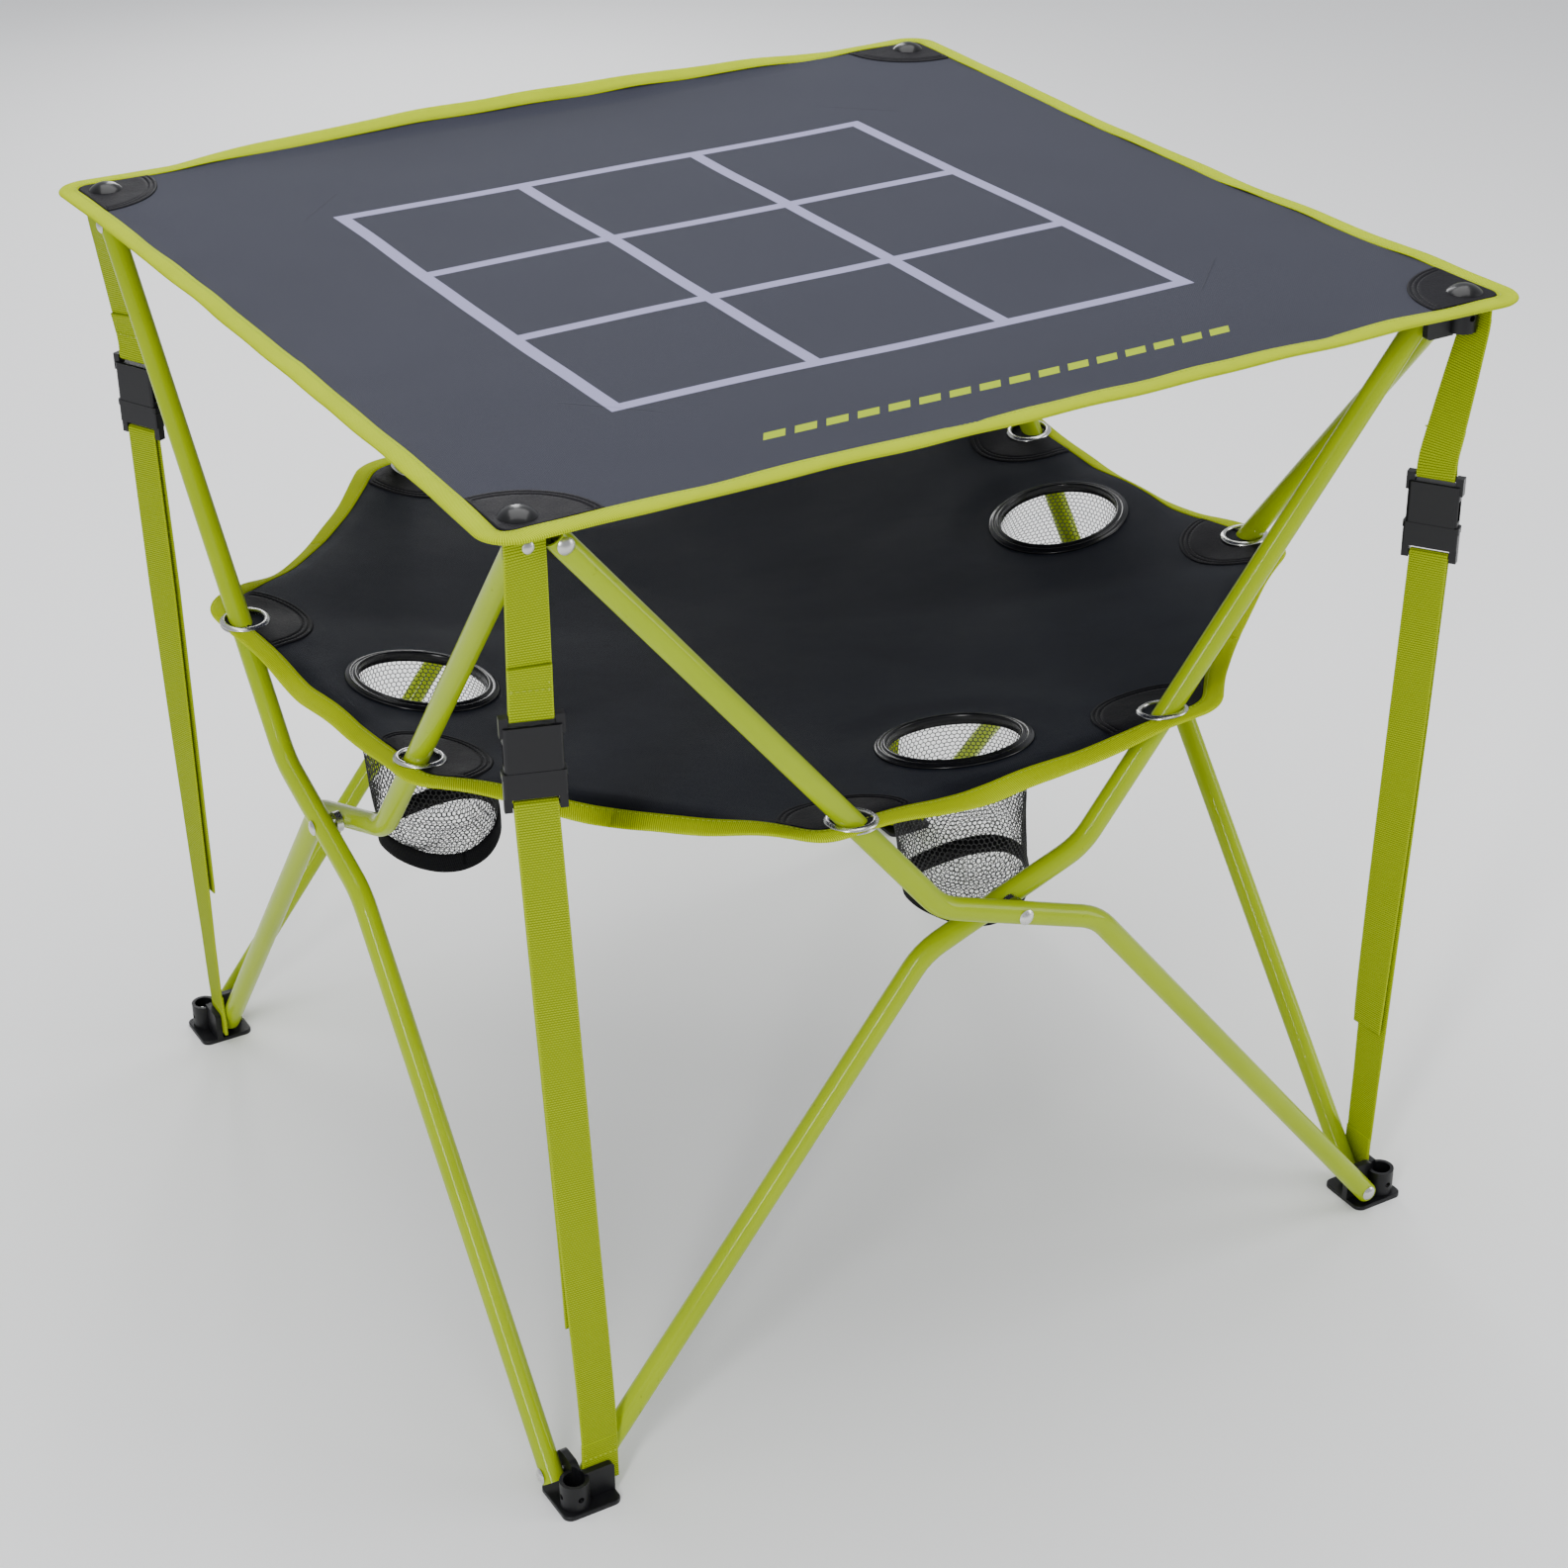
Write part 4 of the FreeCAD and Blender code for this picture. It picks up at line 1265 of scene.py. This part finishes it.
def floor_net(k):
    span = int(2 * BAG_END_R / NET_WIDTH) + 4
    rows = int(2 * BAG_END_R / (1.5 * NET_EDGE)) + 3

    def place(i, down):
        x, y = (i - span / 2) * NET_WIDTH, down - BAG_END_R
        r = math.hypot(x, y) / BAG_END_R
        if r > 1:
            return None
        edge = bag_point(math.atan2(y, x), 1.0, k)
        centre = Vector((BAG_LEAN.x, CUP_AT, cup_level - BAG_DEPTH - 14 * MM))
        at = centre.lerp(edge, r)
        ripple = noise.noise(Vector((x * 40, y * 40, k)))
        at.z = centre.z + (edge.z - centre.z) * r ** 3 + 4 * MM * ripple
        return at

    return honeycomb(0, rows, place, range(span))


def ribbon_ring(title, k):
    """The ribbon sewn round the bag's lower edge."""
    profile = [(-0.5, -6.5), (0.5, -6.5), (0.75, -3.0), (0.75, 3.0), (0.5, 6.5), (-0.5, 6.5)]
    profile = [(a * MM, b * MM, b * MM) for a, b in profile]
    stations, run, last = [], 0.0, None
    for i in range(120):
        angle = 2 * math.pi * i / 120
        at = turn(bag_point(angle, 1.0, k), k)
        above = turn(bag_point(angle, 0.92, k), k)
        up = (above - at).normalized()
        away = turn(Vector((math.cos(angle), math.sin(angle), 0)), k)
        away = (away - up * away.dot(up)).normalized()
        run += (at - last).length if last else 0.0
        last = at
        stations.append((at + away * 0.3 * MM, away, up, run))
    points, faces, uv = band(stations, profile, closed=True)
    return outward(piece(title, points, faces, BLACK_TAPE, uv))


bags = []
for k, side in enumerate(SIDES):
    walls, wall_edges = wall_net(k)
    base, base_edges = floor_net(k)
    spots = [turn(p, k) for p in walls + base]
    links = wall_edges + [(a + len(walls), b + len(walls)) for a, b in base_edges]
    net = grow("cup_net_" + side, STRANDS, spots, links, BLACK_YARN)
    bags.append((net, ribbon_ring("cup_ribbon_" + side, k)))
print("net faces", [len(net.data.polygons) for net, _ in bags])

# %% [markdown]
# ## Corner straps
# A strap and a side-release buckle in every corner keep the frame from spreading. Webbing is a
# band with a thin rounded section, led through stations: down from the hub, round the buckle's
# bar, and back up to where it is sewn. The lower strap's free tail hangs behind it. Each buckle
# hangs turned a little.

# %% Strap paths
HUB_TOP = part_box("hub_front_left")[1].z
TOWER = 324.0 * MM
RIVET_U = 303.0 * MM
WEB_HALF = 12.7 * MM
WEB_THICK = 1.4 * MM
STRAP_TOP = Vector((-0.326, -TOWER - 9.7 * MM - WEB_THICK / 2, 0))
BUCKLE = Vector((-0.3205, -0.3185, 0))
BUCKLE_LOW = 502 * MM
BUCKLE_HIGH = 562 * MM
BAR_GAP = 2.2 * MM       # from the buckle's middle plane to each layer of webbing
BUCKLE_TURN = (-18.0, 34.0, -12.0, 26.0)
TAIL_END = 134 * MM
FOOT_Y = -0.319
HIGH_BEND, LOW_BEND = 120 * MM, 300 * MM     # below the bar, where the lower strap turns


def layer(offset, degrees, z):
    """The middle of a webbing layer that lies offset behind the buckle's middle plane."""
    s = math.radians(degrees)
    return Vector((BUCKLE.x - offset * math.sin(s), BUCKLE.y + offset * math.cos(s), z))


def above(point, z):
    return Vector((point.x, point.y, z))


def round_bar(bar, degrees, sign):
    """Webbing stations on the half turn about a buckle's bar: sign 1 under it, -1 over it."""
    spots = []
    for i in range(1, 8):
        a = math.pi * i / 8
        z = bar - sign * BAR_GAP * math.sin(a)
        spots.append((layer(sign * BAR_GAP * math.cos(a), degrees, z), degrees))
    return spots


def upper_path(degrees):
    bar = BUCKLE_HIGH - 2 * MM
    top, front, back = STRAP_TOP, layer(-BAR_GAP, degrees, 0), layer(BAR_GAP, degrees, 0)
    behind = layer(-BAR_GAP + WEB_THICK * 1.05, degrees, 0)
    tail_top, meeting, straight_from = bar + 33 * MM, bar + 12 * MM, HUB_TOP - 18 * MM
    drop = straight_from - meeting
    straight = [(above(top.lerp(behind, s), straight_from - drop * s), degrees * s)
                for s in (0.0, 0.25, 0.5, 0.75)]
    leaning = (top - behind) * (21 * MM / drop)
    up = [
        (above(top, HUB_TOP - 3.5 * MM), 0.0),
        (above(top, HUB_TOP - 12 * MM), 0.0),
        *straight,
        (above(behind, meeting), degrees),
        (above(back, bar + 1 * MM), degrees),
    ]
    down = [
        (above(front, bar + 1 * MM), degrees),
        (above(front, meeting), degrees),
        (above(front + leaning * 0.7, tail_top - 6 * MM), degrees * 0.85),
        (above(front + leaning, tail_top), degrees * 0.79),
    ]
    return up + round_bar(bar, degrees, 1) + down


def lower_path(degrees):
    bar = BUCKLE_LOW + 3 * MM
    front, back = layer(-BAR_GAP, degrees, 0), layer(BAR_GAP, degrees, 0)
    foot_y = FOOT_Y
    lean = (-RIVET_U - BUCKLE.x) / (bar - 44 * MM)
    up = [
        (Vector((-RIVET_U, foot_y - 1.0 * MM, 40 * MM)), 0.0),
        (Vector((-RIVET_U - lean * 40 * MM, foot_y - 1.2 * MM, 90 * MM)), degrees * 0.10),
        (Vector((front.x + lean * LOW_BEND, foot_y - 1.6 * MM, bar - LOW_BEND)), degrees * 0.45),
        (Vector((front.x + lean * HIGH_BEND, front.y, bar - HIGH_BEND)), degrees),
        (above(front, bar - 1 * MM), degrees),
    ]
    taper = bar - TAIL_END
    down = [
        (above(back, bar - 1 * MM), degrees),
        (Vector((back.x + lean * HIGH_BEND, back.y + 0.6 * MM, bar - HIGH_BEND)), degrees),
        (Vector((front.x + lean * LOW_BEND + 0.5 * MM, foot_y + 2.4 * MM, bar - LOW_BEND)),
         degrees * 0.45),
        (Vector((front.x + lean * taper * 0.98, foot_y + 3.4 * MM, TAIL_END)), degrees * 0.15),
    ]
    return up + round_bar(bar, degrees, -1) + down


def foot_loop():
    """The doubled, sewn end that the foot's rivet holds."""
    ends = ((FOOT_Y, 8), (FOOT_Y, 24), (-0.3196, 42))
    return [(Vector((-RIVET_U, y, z * MM)), 0.0) for y, z in ends]


# %% Webbing bands
def smooth_path(path, step=3.5 * MM):
    """Catmull-Rom points between the stations, each with its turn in degrees."""
    ends = [path[0], *path, path[-1]]
    fine = []
    for i in range(1, len(ends) - 2):
        (p0, _), (p1, d1), (p2, d2), (p3, _) = ends[i - 1:i + 3]
        count = max(1, round((p2 - p1).length / step))
        for j in range(count):
            t = j / count
            a = -0.5 * t + t * t - 0.5 * t ** 3
            b = 1 - 2.5 * t * t + 1.5 * t ** 3
            c = 0.5 * t + 2 * t * t - 1.5 * t ** 3
            d = -0.5 * t * t + 0.5 * t ** 3
            fine.append((p0 * a + p1 * b + p2 * c + p3 * d, d1 + (d2 - d1) * t))
    return fine + [path[-1]]


def web_profile(thick):
    t, half = thick / 2, WEB_HALF
    left = [(-half, 0), (-half + 0.25 * MM, -t * 0.8), (-half + 0.9 * MM, -t), (-half * 0.4, -t)]
    ring = left + [(-a, b) for a, b in reversed(left)]
    return [(a, b, a) for a, b in ring] + [(a, -b, a) for a, b in reversed(ring[1:-1])]


def web(title, path, k, thick=WEB_THICK):
    fine = smooth_path(path)
    stations, run = [], 0.0
    for i, (at, degrees) in enumerate(fine):
        before, after = fine[max(i - 1, 0)][0], fine[min(i + 1, len(fine) - 1)][0]
        along = (after - before).normalized()
        wide = Vector((*on_circle((0, 0), 1, math.radians(degrees)), 0))
        face = along.cross(wide).normalized()
        wide = face.cross(along).normalized()
        run += (at - fine[i - 1][0]).length if i else 0.0
        stations.append((turn(at, k), turn(wide, k), turn(face, k), run))
    points, faces, uv = band(stations, web_profile(thick))
    return outward(piece(title, points, faces, WEB, uv))


def box_seam(title, k, centre, degrees, tall, front):
    """Stitches round a rectangle on the strap's outer face."""
    s = math.radians(degrees)
    across, out = Vector((math.cos(s), math.sin(s), 0)), Vector((math.sin(s), -math.cos(s), 0))
    corners = ((-SEAM_HALF, -tall), (SEAM_HALF, -tall), (SEAM_HALF, tall), (-SEAM_HALF, tall))
    spots = [turn(centre + across * a + Vector((0, 0, b)) + out * front, k) for a, b in corners]
    return sew(title, [[spots[i], spots[(i + 1) % 4]] for i in range(4)], LIME_YARN)


SEAM_HALF = 10.5 * MM
straps = []
for k, corner in enumerate(CORNERS):
    degrees = BUCKLE_TURN[k]
    upper = web("upper_strap_" + corner, upper_path(degrees), k)
    lower = web("lower_strap_" + corner, lower_path(degrees), k)
    loop = web("foot_loop_" + corner, foot_loop(), k, 2.4 * MM)
    sewn = layer(-BAR_GAP - WEB_THICK / 2 - 1.0 * MM, degrees, BUCKLE_HIGH + 22 * MM)
    upper_seam = box_seam("upper_seam_" + corner, k, sewn, degrees, 6.5 * MM, 0.15 * MM)
    at_foot = Vector((-RIVET_U, -0.3203, 34 * MM))
    lower_seam = box_seam("lower_seam_" + corner, k, at_foot, 0.0, 4.5 * MM, 0.0)
    straps.append((upper, upper_seam, lower, lower_seam, loop))
print("straps", len(straps))

# %% [markdown]
# ## Riding the frame
# Every piece now follows the body that carries it. Cloth is pulled inwards when the frame folds,
# which no rigid body can do alone; each quarter rides the side that drops.

# %% Ride and replace
def carried(made, body):
    """Rides the body."""
    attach(made, body)


TOP_HINGE = (-0.345, -0.345, 0.681)
SHELF_HINGE = (0, -0.299, 0.4435)
for k, side in enumerate(SIDES):
    along = tuple(turn((1, 0, 0), k))
    top_anchor = tuple(turn(TOP_HINGE, k))
    shelf_anchor = tuple(turn(SHELF_HINGE, k))
    patches = [o for *pair, at in shelf_patches if at == k for o in pair]
    for slot, group in (("grey_cloth", [top_cloth[k]]), ("lime_webbing", top_bindings[k])):
        for made in group:
            carried(made, "top_side_" + side)
            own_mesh(made)
    for slot, group in (("dark_cloth", [shelf_cloth[k]]), ("lime_webbing", shelf_bindings[k]),
                        ("black_vinyl", patches)):
        for made in group:
            carried(made, "shelf_side_" + side)
            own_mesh(made)
    for made in bags[k]:
        carried(made, "shelf_side_" + side)
        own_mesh(made)
    carried(rims[k], "shelf_side_" + side)
    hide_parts("top_panel")
    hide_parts("top_edge_" + side)
    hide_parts("shelf_panel")
    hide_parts("shelf_edge")
    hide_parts("cup_rim_" + side)
    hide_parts("cup_bags")
for k, corner in enumerate(CORNERS):
    for made in corner_patches[k]:
        carried(made, "hub_" + corner)
    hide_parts("top_corner_patches")
    upper, upper_seam, lower, lower_seam, loop = straps[k]
    for made in (upper, upper_seam):
        carried(made, "hub_" + corner)
    for made in (lower, lower_seam, loop):
        carried(made, "foot_" + corner)
    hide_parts("strap_upper_" + corner)
    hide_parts("strap_lower_" + corner)
for made, tube in grommets:
    carried(made, tube)
    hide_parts("shelf_grommets")
for made, _, _ in shelf_patches:
    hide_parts("shelf_patches")

# %% [markdown]
# The flat area of each cloth quarter is worked out. A quarter of the top is a triangle, half of the
# rectangle round it. A quarter of the shelf is smaller, because the octagon's corners and the cup
# hole are cut away.

def flat_area(flat, faces):
    return sum(abs(winding(flat, f)) / 2 for f in faces)


top_area = flat_area(top_flat, top_faces)
shelf_area = flat_area(shelf_flat, shelf_faces)
print("sheet areas", round(top_area, 4), round(shelf_area, 4))

# %% [markdown]
# ## Floor, light and camera
# A pale floor and large soft lights keep the scene plain. The long lens stands back to the left
# and looks down on the front left corner, where the straps, buckles and shelf all show.

# %% Floor and lights
bpy.ops.mesh.primitive_plane_add(size=30)
floor = bpy.context.object
floor.name = "floor"
pale_floor = Finish("pale_floor", Base_Color=(0.93, 0.93, 0.93, 1), Roughness=0.9)
floor.data.materials.append(pale_floor.material)


LIGHTS_AIM = Vector((0, 0, 0.35))


def soft_light(title, at, size, watts):
    data = bpy.data.lights.new(title, "AREA")
    data.shape = "RECTANGLE"
    data.size, data.size_y = size
    data.energy = watts
    light = bpy.data.objects.new(title, data)
    light.location = at
    light.rotation_euler = (LIGHTS_AIM - Vector(at)).to_track_quat("-Z", "Y").to_euler()
    bpy.context.scene.collection.objects.link(light)


soft_light("overhead", (0.2, 0.4, 2.9), (2.6, 2.6), 80)
soft_light("key", (-2.4, -2.2, 1.9), (0.45, 1.8), 60)
soft_light("fill", (2.6, -1.6, 1.4), (1.0, 2.0), 30)
soft_light("strip", (0.9, 2.6, 1.6), (0.5, 2.2), 22)
world = bpy.data.worlds.new("studio")
bpy.context.scene.world = world
world.use_nodes = True
sky = world.node_tree.nodes["Background"]
sky.inputs["Color"].default_value = (0.93, 0.95, 1.0, 1)
sky.inputs["Strength"].default_value = 0.62
print("lights", len(bpy.data.lights))

# %% Camera
AZIMUTH, ELEVATION, ROLL = (math.radians(v) for v in (-29.64, 28.72, -0.84))
CAMERA_AT = Vector((-0.9546, -1.7123, 1.3507))
camera_data = bpy.data.cameras.new("camera")
camera_data.sensor_width = 36
camera_data.lens = 71.9
camera = bpy.data.objects.new("camera", camera_data)
level_share = math.cos(ELEVATION)
back = Vector(
    (math.sin(AZIMUTH) * level_share, -math.cos(AZIMUTH) * level_share, math.sin(ELEVATION)))
right = Vector((math.cos(AZIMUTH), math.sin(AZIMUTH), 0))
up = back.cross(right)
x_axis = right * math.cos(ROLL) + up * math.sin(ROLL)
y_axis = up * math.cos(ROLL) - right * math.sin(ROLL)
aim = Matrix((x_axis, y_axis, back)).transposed().to_4x4()
camera.matrix_world = Matrix.Translation(CAMERA_AT) @ aim
bpy.context.scene.collection.objects.link(camera)
bpy.context.scene.camera = camera
print("camera at", rounded(CAMERA_AT))
